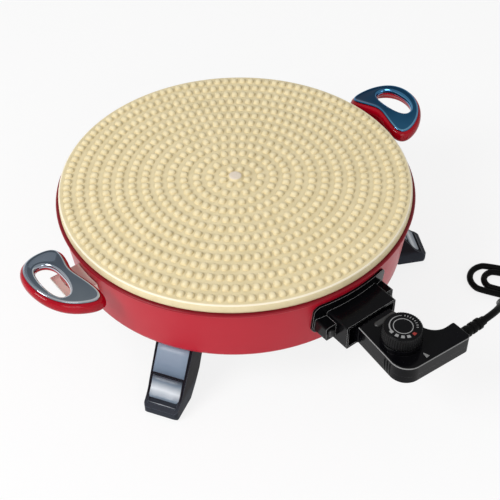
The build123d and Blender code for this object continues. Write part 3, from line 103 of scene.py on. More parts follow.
class Finish:
    """A node material with short calls for what these finishes share."""

    def __init__(self, name, specular=0.5, **sockets):
        """Sockets are the shader's inputs by their names in small letters."""
        self.material = bpy.data.materials.new(name)
        self.material.use_nodes = True
        self.tree = self.material.node_tree
        self.shader = self.tree.nodes["Principled BSDF"]
        self.shader.inputs["Specular IOR Level"].default_value = specular
        for socket, value in sockets.items():
            self.shader.inputs[socket.replace("_", " ").title()].default_value = value

    def node(self, kind, **settings):
        made = self.tree.nodes.new(kind)
        for key, value in settings.items():
            setattr(made, key, value)
        return made

    def link(self, output, target):
        self.tree.links.new(output, target)

    def noise(self, scale):
        place = self.node("ShaderNodeTexCoord")
        made = self.node("ShaderNodeTexNoise")
        made.inputs["Scale"].default_value = scale
        made.inputs["Detail"].default_value = NOISE_DETAIL
        self.link(place.outputs["Object"], made.inputs["Vector"])
        return made.outputs["Fac"]

    def between(self, source, low, high):
        """0 at low, 1 at high."""
        made = self.node("ShaderNodeMapRange")
        made.inputs["From Min"].default_value = low
        made.inputs["From Max"].default_value = high
        self.link(source, made.inputs["Value"])
        return made.outputs["Result"]

    def along(self, axis, span):
        """0 to 1 between two places along an axis of the frame."""
        place = self.node("ShaderNodeTexCoord")
        axes = self.node("ShaderNodeSeparateXYZ")
        self.link(place.outputs["Object"], axes.inputs["Vector"])
        return self.between(axes.outputs[axis], *span)

    def mix(self, first, second, share):
        """Mixes two values; share is the part of the second."""
        made = self.node("ShaderNodeMix")
        made.inputs[MIX_FACTOR].default_value = share
        for source, socket in zip((first, second), MIX_VALUES):
            self.link(source, made.inputs[socket])
        return made.outputs[MIX_VALUE_OUT]

    def blend(self, mask, source, colour):
        """The source's colour, and the given one where the mask is 1."""
        made = self.node("ShaderNodeMix", data_type="RGBA")
        self.link(mask, made.inputs[MIX_FACTOR])
        self.link(source, made.inputs[MIX_COLOURS[0]])
        made.inputs[MIX_COLOURS[1]].default_value = colour
        return made.outputs[MIX_COLOUR_OUT]

    def rounded(self, radius):
        """Normals that turn evenly over sharp edges."""
        made = self.node("ShaderNodeBevel", samples=BEVEL_SAMPLES)
        made.inputs["Radius"].default_value = radius
        return made.outputs["Normal"]

    def edges(self, radius):
        """Mask that is 1 along sharp edges, from how far a rounded normal turns there."""
        surface = self.node("ShaderNodeNewGeometry")
        product = self.node("ShaderNodeVectorMath", operation="DOT_PRODUCT")
        self.link(self.rounded(radius), product.inputs[0])
        self.link(surface.outputs["Normal"], product.inputs[1])
        return self.between(product.outputs["Value"], EDGE_FLAT, EDGE_SHARP)

    def ramp(self, source, stops):
        made = self.node("ShaderNodeValToRGB")
        elements = made.color_ramp.elements
        while len(elements) < len(stops):
            elements.new(0.5)
        for element, (place, colour) in zip(elements, stops):
            element.position = place
            element.color = colour
        self.link(source, made.inputs["Fac"])
        return made.outputs["Color"]

    def paint(self, colour):
        self.link(colour, self.shader.inputs["Base Color"])

    def tint(self, source, stops):
        self.paint(self.ramp(source, stops))

    def gloss(self, scale, low, high):
        """Roughness that varies between two values, in spots of a noise of this scale."""
        made = self.node("ShaderNodeMapRange")
        made.inputs["To Min"].default_value = low
        made.inputs["To Max"].default_value = high
        self.link(self.noise(scale), made.inputs["Value"])
        self.link(made.outputs["Result"], self.shader.inputs["Roughness"])

    def relief(self, scale, height, round_edges=0.0):
        """Fine bumps of a noise of this scale, and edges that look rounded by this radius."""
        bump = self.node("ShaderNodeBump")
        bump.inputs["Distance"].default_value = height
        bump.inputs["Strength"].default_value = 1.0
        self.link(self.noise(scale), bump.inputs["Height"])
        if round_edges:
            self.link(self.rounded(round_edges), bump.inputs["Normal"])
        self.link(bump.outputs["Normal"], self.shader.inputs["Normal"])


# Between which places the finishes' colours change, along Z unless X or Y is named
# heights over which the plate's painted shade between the studs turns into painted highlight on
# their tops
STUD_SPAN = (0.1368, 0.1402)
# the rolled rim's heights, where a dark reflection is painted into the red
BEAD_REFLECTION_SPAN = (0.1255, 0.1290)  # the shell's rolled rim
# heights of the painted highlight line along the case's top edge
CASE_HIGHLIGHT_SPAN = (0.1048, 0.1070)
LEG_SPAN = (0.0, 0.1)
INLAY_SPAN = (0.012, 0.062)
# spans of the trims' painted reflections, across the handles and toward the front
TRIM_SPAN_X = (-0.1, 0.1)
TRIM_SPAN_Y = (0.085, -0.015)
TRIM_PLACES = (0.03, 0.2, 0.38, 0.6, 0.8, 0.95)  # of its six colours on the ramp


def plate_finish(name, low, middle, high):
    """Non-stick coat, speckled, with painted shade and highlight by height: darker low between
    the studs, paler on their tops.
    """
    made = Finish(name, specular=0.35, coat_weight=0.1, coat_roughness=0.35)
    height = made.along("Z", STUD_SPAN)
    # speckles mixed with the painted shade and highlight by height
    speckle_and_shade = made.mix(made.noise(75), height, 0.25)
    made.tint(speckle_and_shade, [(0.0, low), (0.4, middle), (1.0, high)])
    made.gloss(300, 0.4, 0.55)
    made.relief(1900, height=0.00006)
    return made.material


def enamel_finish():
    """Red enamel, with a painted dark reflection on the rolled rim beside the plate."""
    made = Finish("red_enamel", specular=0.2, coat_weight=0.08, coat_roughness=0.12)
    height = made.along("Z", BEAD_REFLECTION_SPAN)
    # the deep red stop is the painted dark reflection on the rolled rim
    made.tint(
        made.mix(made.noise(14), height, 0.9),
        [(0.0, srgb(186, 20, 42)), (0.15, srgb(178, 16, 38)), (0.8, srgb(112, 8, 24))],
    )
    made.gloss(60, 0.3, 0.42)
    made.relief(420, height=0.00002, round_edges=0.0006)
    return made.material


def plastic_finish(name, dark, light, roughness, coat=0.0, shine=0.3, painted_edge=None):
    """Moulded plastic; an edge colour, if given, is painted along its sharp edges: a painted
    highlight where it is lighter than the plastic, painted shade where it is darker.
    """
    made = Finish(name, specular=shine, coat_weight=coat, coat_roughness=0.06)
    colour = made.ramp(made.noise(35), [(0.35, dark), (0.65, light)])
    if painted_edge:
        # edge colour painted along the sharp edges as light or shade
        colour = made.blend(made.edges(0.0007), colour, painted_edge)
    made.paint(colour)
    made.gloss(160, roughness * 0.8, roughness * 1.2)
    made.relief(900, height=0.000015, round_edges=0.0007)
    return made.material


def metal_finish(name, dark, light, low, high):
    """Bare metal with a roughness between low and high."""
    made = Finish(name, metallic=1.0)
    made.tint(made.noise(80), [(0.3, dark), (0.7, light)])
    made.gloss(240, low, high)
    made.relief(700, height=0.00001, round_edges=0.0004)
    return made.material


def trim_finish(name, colours):
    """Mirror-bright trim with painted reflections: slate on the left handle, blue on the right,
    paler to the front.
    """
    made = Finish(name, metallic=1.0)
    across = made.along("X", TRIM_SPAN_X)
    forward = made.along("Y", TRIM_SPAN_Y)
    place = made.mix(made.mix(made.noise(24), forward, 0.6), across, 0.55)
    made.tint(place, list(zip(TRIM_PLACES, colours)))
    made.gloss(120, 0.05, 0.11)
    made.relief(700, height=0.000008)
    return made.material


def case_finish():
    """Black case of the control: a painted highlight line follows the round edge of its top."""
    made = Finish("case_plastic", specular=0.1)
    colour = made.ramp(made.noise(35), [(0.35, srgb(6, 6, 9)), (0.65, srgb(10, 10, 12))])
    height = made.along("Z", CASE_HIGHLIGHT_SPAN)
    # painted highlight along the rounded edge of the top
    line = made.ramp(
        height, [(0.2, grey(0)), (0.45, grey(255)), (0.6, grey(255)), (0.85, grey(0))]
    )
    made.paint(made.blend(line, colour, grey(145)))
    made.gloss(160, 0.1, 0.17)
    made.relief(900, height=0.000015, round_edges=0.0005)
    return made.material


def leg_finish():
    """Black moulded leg, greyer low down at its toe, with painted highlights along its sharp
    edges.
    """
    made = Finish("leg_plastic", specular=0.06)
    height = made.along("Z", LEG_SPAN)
    black = srgb(20, 16, 23)
    colour = made.ramp(
        made.mix(made.noise(60), height, 0.9),
        [(0.1, srgb(50, 54, 62)), (0.17, srgb(44, 47, 55)), (0.23, black), (1.0, black)],
    )
    # grey-blue edge colour: painted highlights along the sharp edges
    made.paint(made.blend(made.edges(0.0008), colour, srgb(100, 108, 120)))
    made.gloss(160, 0.4, 0.56)
    made.relief(900, height=0.000015, round_edges=0.0008)
    return made.material


def leg_face_finish():
    """Satin steel-blue inlay with painted light and shade by height: painted highlights on the
    lip and in a band across the hollow, painted shade just above the lip and at the knee.
    """
    made = Finish("leg_face", roughness=0.42, coat_weight=0.1, coat_roughness=0.3)
    height = made.along("Z", INLAY_SPAN)
    # bright stops are painted highlights, dark stops painted shade
    made.tint(
        made.mix(made.noise(40), height, 0.94),
        [
            (0.045, srgb(206, 212, 220)),
            (0.07, srgb(44, 50, 60)),
            (0.13, srgb(104, 118, 134)),
            (0.23, srgb(204, 210, 216)),
            (0.36, srgb(96, 110, 126)),
            (0.43, srgb(52, 60, 72)),
            (0.50, srgb(98, 114, 134)),
            (1.0, srgb(140, 154, 172)),
        ],
    )
    made.relief(900, height=0.00001)
    return made.material


def print_finish(name, colour):
    """Printed marks, slightly uneven."""
    made = Finish(name)
    darker = tuple(c * 0.9 for c in colour[:3]) + (1,)
    made.tint(made.noise(300), [(0.2, colour), (0.8, darker)])
    made.gloss(500, 0.4, 0.6)
    return made.material


def make_finishes():
    return {
        # low, middle and high run from painted shade between the studs to painted highlight on
        # their tops
        "plate_coat": plate_finish(
            "plate_coat", srgb(212, 196, 152), srgb(228, 213, 172), srgb(242, 228, 190)
        ),
        # pale copy of the coat, painted as a highlight along the rim's rounded edge
        "plate_rim_highlight": plate_finish(
            "plate_rim_highlight", srgb(240, 228, 202), srgb(246, 236, 212), srgb(250, 242, 222)
        ),
        "plate_knob": plate_finish(
            "plate_knob", srgb(218, 202, 176), srgb(226, 212, 192), srgb(232, 219, 204)
        ),
        "red_enamel": enamel_finish(),
        "red_plastic": plastic_finish(
            "red_plastic", srgb(158, 0, 22), srgb(172, 2, 30), 0.1, coat=0.12, shine=0.2
        ),
        # painted reflections: dark to pale slate on the left trim, navy to pale blue on the right
        "bright_trim": trim_finish(
            "bright_trim",
            (
                srgb(72, 84, 96), srgb(96, 108, 122), srgb(142, 152, 160),
                srgb(18, 46, 76), srgb(32, 78, 112), srgb(64, 122, 160),
            ),
        ),
        # paler copies, painted highlights on the trims' lips and round their holes
        "trim_highlight": trim_finish(
            "trim_highlight",
            (
                srgb(128, 140, 154), srgb(176, 186, 198), srgb(236, 240, 244),
                srgb(60, 112, 156), srgb(84, 142, 182), srgb(150, 204, 230),
            ),
        ),
        # near-white base is a painted reflection in place of chrome; the darker edge colour is a
        # painted dark edge line
        "bracket": plastic_finish(
            "bracket", srgb(250, 234, 220), srgb(253, 243, 232), 0.2,
            shine=0.6, painted_edge=srgb(130, 90, 84),
        ),
        "leg_plastic": leg_finish(),
        "leg_face": leg_face_finish(),
        "pad_rubber": plastic_finish("pad_rubber", grey(28), grey(38), 0.8, shine=0.1),
        # light grey edges: painted highlights along the sharp edges
        "black_plastic": plastic_finish(
            "black_plastic", srgb(7, 7, 9), srgb(11, 11, 13), 0.14, shine=0.1, painted_edge=grey(175)
        ),
        "case_plastic": case_finish(),
        # dim grey edges: faint painted highlights along the ribs
        "dial_plastic": plastic_finish(
            "dial_plastic", srgb(6, 6, 8), srgb(10, 10, 12), 0.3, shine=0.12, painted_edge=grey(52)
        ),
        "dial_white": print_finish("dial_white", grey(150)),
        "pointer_grey": print_finish("pointer_grey", grey(128)),
        "dial_red": print_finish("dial_red", srgb(150, 40, 34)),
        "lens_grey": plastic_finish("lens_grey", grey(44), grey(52), 0.12, coat=0.3),
        "steel": metal_finish("steel", grey(170), grey(185), 0.22, 0.34),
        "dark_steel": metal_finish("dark_steel", grey(80), grey(96), 0.35, 0.5),
        "bare_aluminium": metal_finish("bare_aluminium", grey(188), grey(200), 0.3, 0.45),
        "ceramic": plastic_finish(
            "ceramic", srgb(228, 222, 210), srgb(236, 230, 220), 0.5, coat=0.1
        ),
        "brass": metal_finish("brass", srgb(196, 160, 90), srgb(208, 172, 104), 0.2, 0.3),
        "phenolic": plastic_finish("phenolic", srgb(70, 40, 22), srgb(84, 50, 30), 0.4),
        "spring_steel": metal_finish("spring_steel", grey(150), grey(165), 0.2, 0.3),
        "lead_rubber": plastic_finish("lead_rubber", grey(10), grey(14), 0.4, shine=0.06),
    }


# CAD nodes whose finish differs from that of their material slot
OWN_FINISHES = {
    "handle_bracket_left": "bracket",
    "handle_bracket_right": "bracket",
    "control_case_upper": "case_plastic",
    "control_case_lower": "case_plastic",
    "dial_knob": "dial_plastic",
    "socket_screws": "dark_steel",
}


def dress_cad_nodes(finishes):
    """Every CAD node gets the finish of its material slot, or its own."""
    for entry in frame["record"]["subparts"]:
        node = frame["nodes"][entry["node"]]
        for holder in node.material_slots:
            holder.material = finishes[entry["material_slot"]]
    for name, finish in OWN_FINISHES.items():
        for holder in frame["nodes"][name].material_slots:
            holder.material = finishes[finish]


# Mains lead: corners of its route down to the worktop, then the flat hank. The hank has its own
# directions: s along its loops and t across them
LEAD_R = 3.4
LEAD_START = (82.0, -264.5, 97.0)
LEAD_CORNERS = (
    (98.0, -264.5, 97.0),
    (116.0, -257.5, 90.0),
    (133.5, -245.0, 72.0),
    (150.0, -232.5, 48.0),
    (165.5, -222.5, 28.0),
    (180.3, -215.6, 17.5),
    (196.0, -216.0, 13.0),
)
HANK_AT = (203.0, -178.0)
HANK_TURN = -56.0
LOW = 4.7  # heights of the two layers
HIGH = LOW + 7.0
OUT_T = 20.0  # half widths of the outer and the inner loops
IN_T = OUT_T - 7.0
FAR_S = 100.0  # where the loops' half turns start
NEAR_HIGH_S = 38.0
NEAR_LOW_S = 8.0
NEAR_LAST_S = 0.0
ENTRY_S = 41.5
STEP_DOWN = (87.5, 62.5)  # where the lead leaves the upper layer and meets the lower one
PLUG_WAY = ((118, LOW), (131, 9.0), (143.5, 9.0))  # s and height on the way to the plug
CAP_CORNERS = 6  # control points per half turn


def hank_point(s, t, z):
    """Point of the hank: s along its loops, t across them."""
    turn = math.radians(HANK_TURN)
    x = HANK_AT[0] + s * math.cos(turn) - t * math.sin(turn)
    y = HANK_AT[1] + s * math.sin(turn) + t * math.cos(turn)
    return at_axis(x, y, z)


def half_turn(s, near_t, far_t, z, way):
    """Control points of a half circle between two widths t, bulging along s by way (1 or -1)."""
    centre = (near_t + far_t) / 2
    step = math.pi / CAP_CORNERS
    radius = (near_t - far_t) / 2 / math.cos(step / 2)
    points = []
    for corner in range(CAP_CORNERS):
        angle = (corner + 0.5) * step
        reach = abs(radius) * math.sin(angle)
        points.append(hank_point(s + way * reach, centre + radius * math.cos(angle), z))
    return points


def lead_points():
    """Control points of the whole lead, from the strain relief to the plug."""
    points = [at_axis(*LEAD_START)] + [at_axis(*corner) for corner in LEAD_CORNERS]
    points.append(hank_point(ENTRY_S, -OUT_T, HIGH))
    points += half_turn(FAR_S, -OUT_T, OUT_T, HIGH, 1)
    points += half_turn(NEAR_HIGH_S, OUT_T, -IN_T, HIGH, -1)
    points += half_turn(FAR_S, -IN_T, IN_T, HIGH, 1)
    points += [hank_point(s, IN_T, z) for s, z in zip(STEP_DOWN, (HIGH, LOW))]
    points += half_turn(NEAR_LOW_S, IN_T, -IN_T, LOW, -1)
    points += half_turn(FAR_S, -IN_T, OUT_T, LOW, 1)
    points += half_turn(NEAR_LAST_S, OUT_T, -OUT_T, LOW, -1)
    points += [hank_point(s, -OUT_T, z) for s, z in PLUG_WAY]
    return points


def make_lead(finishes):
    data = bpy.data.curves.new("lead", "CURVE")
    data.dimensions = "3D"
    spline = data.splines.new("NURBS")
    points = lead_points()
    spline.points.add(len(points) - 1)
    for point, place in zip(spline.points, points):
        point.co = (*place, 1)
    spline.order_u = 3
    spline.use_endpoint_u = True
    spline.resolution_u = 12
    data.bevel_depth = LEAD_R * MM
    data.bevel_resolution = 8
    data.use_fill_caps = True
    lead = bpy.data.objects.new("lead", data)
    bpy.context.collection.objects.link(lead)
    data.materials.append(finishes["lead_rubber"])
    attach(lead, "control")
    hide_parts("cord", "cord_coil")


# Mesh pieces
def add_piece(name, body, material, mesh):
    """Object of a closed mesh, riding on a body."""
    bmesh.ops.recalc_face_normals(mesh, faces=mesh.faces)
    data = bpy.data.meshes.new(name)
    mesh.to_mesh(data)
    mesh.free()
    data.materials.append(material)
    piece = bpy.data.objects.new(name, data)
    bpy.context.collection.objects.link(piece)
    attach(piece, body)
    return piece


def smooth(piece, levels=0):
    """Smooth shading, with levels of subdivision."""
    for face in piece.data.polygons:
        face.use_smooth = True
    if levels:
        modifier = piece.modifiers.new("smooth", "SUBSURF")
        modifier.levels = levels
        modifier.render_levels = levels


def join_loops(mesh, loops, closed=False):
    """Bands of quads between loops of points. The last loop joins the first, or both get caps."""
    rows = [[mesh.verts.new(point) for point in loop] for loop in loops]
    nexts = rows[1:] + rows[:1] if closed else rows[1:]
    for low, high in zip(rows, nexts):
        for i in range(len(low)):
            j = (i + 1) % len(low)
            mesh.faces.new((low[i], low[j], high[j], high[i]))
    if not closed:
        mesh.faces.new(rows[0])
        mesh.faces.new(rows[-1])


def turns(sides, first=0.0):
    """Angles round a full turn; first is the first one's share of a step."""
    return [2 * math.pi * (number + first) / sides for number in range(sides)]


def squircle(u, v, power):
    """How far a rounded square of half width 1 reaches in the direction u, v."""
    return (abs(u) ** power + abs(v) ** power) ** (-1 / power)


# Cooking plate
PLATE_TOP = 137.0
# radius and height, from the underside over the rim to the centre knob
PLATE_PROFILE = (
    (172.0, 131.5), (172.6, 128.9), (173.2, 128.5), (175.4, 128.5), (176.4, 128.9),
    (176.35, 130.0), (176.0, 134.6), (175.6, 136.2), (175.0, 136.9), (174.2, 137.15),
    (173.2, 137.1), (172.6, 137.0), (120.0, 137.0), (60.0, 137.0), (8.8, 137.0),
    (7.4, 137.3), (6.9, 138.3), (6.4, 139.4), (5.6, 139.9), (4.4, 140.05),
)
# bands of the rim's rounded edge that carry a painted highlight
PLATE_RIM_HIGHLIGHT = (7, 8)  # bands of its profile along the rim's edge
KNOB_R = 6.6
RING_PITCH = 12.857
STUDS_PER_RING = (8, 16, 25, 35, 40, 50, 60, 70, 80, 85, 95, 105, 115)
# a stud's loops from its sunk foot to its top: half lengths outward and along the ring, height
# over the plate and how square the loop is (2 is an ellipse)
STUD_LOOPS = (
    (4.0, 3.55, -0.4, 4.5),
    (3.9, 3.45, 0.2, 4.5),
    (3.5, 3.05, 1.3, 4.0),
    (3.0, 2.6, 2.3, 3.5),
    (2.3, 2.0, 2.95, 3.0),
    (1.0, 0.9, 3.25, 2.4),
)
RING_TURNS = (30.0, 8.0, 12.3, 3.7)  # degrees to the first stud of the inner rings; others 0
STUD_SIDES = 12
PLATE_SIDES = 180


def stud_loop(angle, ring_r, long, wide, height, power):
    """Rounded oblong round a stud's centre, in the plate's polar directions."""
    out = Vector((math.cos(angle), math.sin(angle), 0))
    side = Vector((-out.y, out.x, 0))
    points = []
    for turn in turns(STUD_SIDES, 0.5):
        c, s = math.cos(turn), math.sin(turn)
        reach = squircle(c, s, power)
        spot = out * (ring_r + long * reach * c) + side * (wide * reach * s)
        points.append(at_axis(spot.x, spot.y, PLATE_TOP + height))
    return points


def make_plate(finishes):
    """The plate with its studs, as separate closed forms sunk into it."""
    mesh = bmesh.new()
    join_loops(mesh, [
        [at_axis(radius * math.cos(t), radius * math.sin(t), z) for t in turns(PLATE_SIDES)]
        for radius, z in PLATE_PROFILE
    ])
    for ring, count in enumerate(STUDS_PER_RING, start=1):
        start = math.radians(RING_TURNS[ring - 1]) if ring <= len(RING_TURNS) else 0.0
        for turn in turns(count):
            ring_r = ring * RING_PITCH
            join_loops(mesh, [stud_loop(start + turn, ring_r, *loop) for loop in STUD_LOOPS])
    plate = add_piece("plate", "cooker", finishes["plate_coat"], mesh)
    plate.data.materials.append(finishes["plate_rim_highlight"])
    plate.data.materials.append(finishes["plate_knob"])
    for face in plate.data.polygons:
        off_axis = math.hypot(face.center.x, face.center.y - AXIS_Y * MM)
        # painted highlight on the rim's edge, and the knob's paler top
        if face.index // PLATE_SIDES in PLATE_RIM_HIGHLIGHT:
            face.material_index = 1
        elif off_axis < KNOB_R * MM and face.center.z > PLATE_TOP * MM:
            face.material_index = 2
    smooth(plate)
    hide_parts("cooking_plate")


# Handles, in their own directions: x outward from the plate's axis, y along its rim. The trim's
# outline has a wide outer arc, two lobes and a notch on the plate's side
TRIM_OUT = 233.5
TRIM_HALF = 40.0
FRONT_R = 50.0
FRONT_HALF = 16.0
LOBE_R = 35.29
LOBE_X = 197.43
CORNER_R = 8.0
INNER_X = 189.0
NOTCH_X = 194.8
NOTCH_LINE = ((INNER_X + 0.8, 24.0), (INNER_X + 3.0, 14.0), (NOTCH_X - 0.6, 6.0), (NOTCH_X, 0))
OUTLINE_POINTS = 120
OUTLINE_ROUNDS = 6
HOLE_X = 215.5
HOLE_HALF_WIDE = 11.0
HOLE_HALF_LONG = 23.4
HOLE_POWER = 2.3
SHARE_MARGIN = 3.0  # the loops on a share of the way run between lines this far in
GRIP_TOP = 133.2
GRIP_TILT = math.radians(9)
ARCH_R = 126.0
RIGHT, LEFT = 1, -1  # way of x
HANDLES = {"right": RIGHT, "left": LEFT}
HANDLE_SHIFT = {RIGHT: (2.5, 0.0), LEFT: (0.0, -2.5)}  # along the frame's X and Y
# The left handle's front lobe and its hole aren't symmetric: the lobe reaches in and along the
# rim, and the hole's centre moves in the handle's x and y
LOBE_PULL = {RIGHT: (0.0, 0.0), LEFT: (5.5, 3.8)}
LOBE_REACH = 26.0  # the pull grows over this width, from the hole's centre inward
LOBE_POWERS = (2, 1.5)  # how steeply it grows along the rim and inward
HOLE_PULL = {RIGHT: (0.0, 0.0), LEFT: (-2.0, 3.5)}


def arc_points(centre, radius, start, end, count):
    """Points of an arc between two angles in degrees, ends included."""
    angles = (math.radians(start + (end - start) * i / count) for i in range(count + 1))
    return [(centre[0] + radius * math.cos(a), centre[1] + radius * math.sin(a)) for a in angles]


def evened(points, count):
    """The same closed outline with points at equal steps."""
    ends = points[1:] + points[:1]
    steps = [math.dist(a, b) for a, b in zip(points, ends)]
    total = sum(steps)
    made, walked, index = [], 0.0, 0
    for number in range(count):
        goal = total * number / count
        while walked + steps[index] < goal:
            walked += steps[index]
            index += 1
        share = (goal - walked) / steps[index]
        a, b = points[index], ends[index]
        made.append((a[0] + (b[0] - a[0]) * share, a[1] + (b[1] - a[1]) * share))
    return made


def softened(points, rounds):
    """Rounds the outline's corners off by averaging neighbours."""
    for _ in range(rounds):
        points = [
            tuple((a[k] + 2 * b[k] + c[k]) / 4 for k in (0, 1))
            for a, b, c in zip(points[-1:] + points[:-1], points, points[1:] + points[:1])
        ]
    return points


def handle_plan():
    """Outline of the trim with its outward directions."""
    turn = math.degrees(math.asin(FRONT_HALF / FRONT_R))
    half = arc_points((TRIM_OUT - FRONT_R, 0), FRONT_R, 0, turn, 6)
    half += arc_points((LOBE_X, TRIM_HALF - LOBE_R), LOBE_R, turn, 90, 16)[1:]
    corner = (INNER_X + CORNER_R, TRIM_HALF - CORNER_R)
    half += arc_points(corner, CORNER_R, 90, 190, 10)
    half += NOTCH_LINE
    outline = half + [(x, -y) for x, y in reversed(half[1:-1])]
    outline = softened(evened(outline, OUTLINE_POINTS), OUTLINE_ROUNDS)
    befores, afters = outline[-1:] + outline[:-1], outline[1:] + outline[:1]
    plan = []
    for before, point, after in zip(befores, outline, afters):
        along = Vector((after[0] - before[0], after[1] - before[1])).normalized()
        plan.append((point, (along.y, -along.x)))
    return plan


def handle_point(x, y, height, way):
    """Point at a height over the arched and tilted top of a handle."""
    aside = min(max(y / TRIM_HALF, 0), 1)
    inward = min(max((HOLE_X - x) / LOBE_REACH, 0), 1)
    lobe = aside ** LOBE_POWERS[0] * inward ** LOBE_POWERS[1]
    x -= LOBE_PULL[way][0] * lobe
    y += LOBE_PULL[way][1] * lobe
    arch = ARCH_R - math.sqrt(ARCH_R**2 - y**2)
    z = GRIP_TOP + (x - HOLE_X) * math.tan(GRIP_TILT) - arch / math.cos(GRIP_TILT)
    shift = HANDLE_SHIFT[way]
    return at_axis(way * x + shift[0], way * y + shift[1], z + height)


def hole_spot(point, grow, way):
    """Where the line from the hole's centre to a point leaves the hole, grown all round."""
    x, y = HOLE_X + HOLE_PULL[way][0], HOLE_PULL[way][1]
    angle = math.atan2(point[1] - y, point[0] - x)
    c, s = math.cos(angle), math.sin(angle)
    reach = squircle(c / HOLE_HALF_WIDE, s / HOLE_HALF_LONG, HOLE_POWER) + grow
    return (x + reach * c, y + reach * s)


def handle_loop(plan, kind, distance, height, way):
    """One loop: round the outline, round the hole, or a share of the way between them."""
    loop = []
    for point, out in plan:
        if kind == "hole":
            x, y = hole_spot(point, distance, way)
        elif kind == "rim":
            x, y = (point[k] + out[k] * distance for k in (0, 1))
        else:
            inner = hole_spot(point, SHARE_MARGIN, way)
            x, y = (point[k] - SHARE_MARGIN * out[k] for k in (0, 1))
            x += (inner[0] - x) * distance
            y += (inner[1] - y) * distance
        loop.append(handle_point(x, y, height, way))
    return loop


# Loops of the two sections, once round: what each follows, how far outside it, or which share
# of the way from rim to hole, and its height over the handle's top
GRIP_LOOPS = (
    ("rim", -2.5, -0.5), ("rim", 0.2, -0.1), ("rim", 1.6, -0.2), ("rim", 3.0, -1.0),
    ("rim", 4.0, -2.6), ("rim", 4.5, -4.8), ("rim", 4.5, -7.2), ("rim", 3.7, -9.6),
    ("rim", 2.1, -11.8), ("rim", -0.4, -13.2), ("rim", -3.4, -13.4), ("share", 0.4, -12.0),
    ("share", 0.8, -9.6), ("hole", 1.8, -8.2), ("hole", 0.6, -7.2), ("hole", 0.1, -6.0),
    ("hole", 0.1, -4.4), ("hole", 0.3, -3.0), ("hole", 0.9, -1.5), ("hole", 2.0, -0.6),
    ("share", 0.5, -0.5),
)
TRIM_LOOPS = (
    ("rim", -0.8, 0.04), ("rim", 0.3, 0.0), ("rim", 0.9, 0.35), ("rim", 1.0, 0.95),
    ("rim", 0.7, 1.5), ("rim", 0.0, 1.8), ("rim", -0.8, 1.75), ("rim", -1.6, 1.4),
    ("rim", -2.8, 1.05), ("share", 0.35, 0.85), ("share", 0.75, 0.95), ("hole", 3.6, 1.0),
    ("hole", 2.2, 0.75), ("hole", 1.0, 0.1), ("hole", 0.1, -1.0), ("hole", -0.4, -2.4),
    ("hole", -0.5, -3.6), ("hole", -0.25, -3.8), ("hole", 0.0, -2.6), ("hole", 0.6, -1.0),
    ("hole", 1.7, -0.2), ("share", 0.5, 0.02),
)
# bands painted with highlights
TRIM_HIGHLIGHT_BANDS = (4, 5, 12, 13, 14, 15)  # bands of its lip and of the hole's edge
# Foot of the grip, on the bracket: height and how much each level grows
FOOT_LEVELS = ((111.05, 0.0), (111.3, 0.0), (114.0, 0.0), (117.0, 0.3), (119.5, 0.8))
FOOT_X = 194.5
FOOT_HALF = (4.8, 14.0)
FOOT_SIDES = 24
FOOT_POWER = 6


def make_handles(finishes):
    """Grips and trims, each a ring of loops round the finger hole."""
    plan = handle_plan()
    for side, way in HANDLES.items():
        for part, loops, slot in (
            ("grip", GRIP_LOOPS, "red_plastic"),
            ("trim", TRIM_LOOPS, "bright_trim"),
        ):
            mesh = bmesh.new()
            join_loops(mesh, [handle_loop(plan, *loop, way) for loop in loops], closed=True)
            if part == "grip":
                add_foot(mesh, way)
            piece = add_piece(f"{part}_{side}", "cooker", finishes[slot], mesh)
            if part == "trim":
                piece.data.materials.append(finishes["trim_highlight"])
                for face in piece.data.polygons:
                    face.material_index = int(face.index // OUTLINE_POINTS in TRIM_HIGHLIGHT_BANDS)
            smooth(piece, 1)
            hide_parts(f"handle_{part}_{side}")


def add_foot(mesh, way):
    """Foot of the grip, a rounded block that stands on the bracket."""
    loops = []
    for z, grow in FOOT_LEVELS:
        loop = []
        for turn in turns(FOOT_SIDES, 0.5):
            c, s = math.cos(turn), math.sin(turn)
            reach = squircle(c, s, FOOT_POWER)
            x = FOOT_X + (FOOT_HALF[0] + grow) * reach * c
            loop.append(at_axis(way * x, way * (FOOT_HALF[1] + grow) * reach * s, z))
        loops.append(loop)
    join_loops(mesh, loops)


# Legs: satin inlays that fill the two recesses of each face and line the lip below them. The
# lines are in the leg's side view, distance from the axis and height
LEGS = {"front_left": -148.5, "front_right": -28.5, "rear": 91.5}  # directions in degrees
PANEL_LINE = ((163.6, 59.2), (168.5, 52.7), (175.0, 44.2), (181.6, 35.6))
SCOOP_LINE = (
    (183.2, 33.3), (186.2, 29.0), (187.9, 26.3), (190.2, 23.2), (192.6, 20.3),
    (195.2, 18.1), (197.4, 16.6),
)
# this thin strip carries the inlay's painted highlight line on the lip
LIP_LINE = ((200.6, 14.3), (201.4, 13.8))
INLAY_HALF = 14.2  # inside the recess
INLAY_FLANGE = 16.2  # over its edges
INLAY_DEEP = 1.9
INLAY_PROUD = 0.35
INLAY_SEAT = 0.05  # underside of the flange over the face
INLAY_SLOPE = 0.4  # width of the flange's sloping edge
SCOOP_NARROW = 1.5
SCOOP_FLANGE = INLAY_FLANGE - 0.8
LIP_FLANGE = INLAY_HALF + 0.4
LIP_DEEP = 0.3


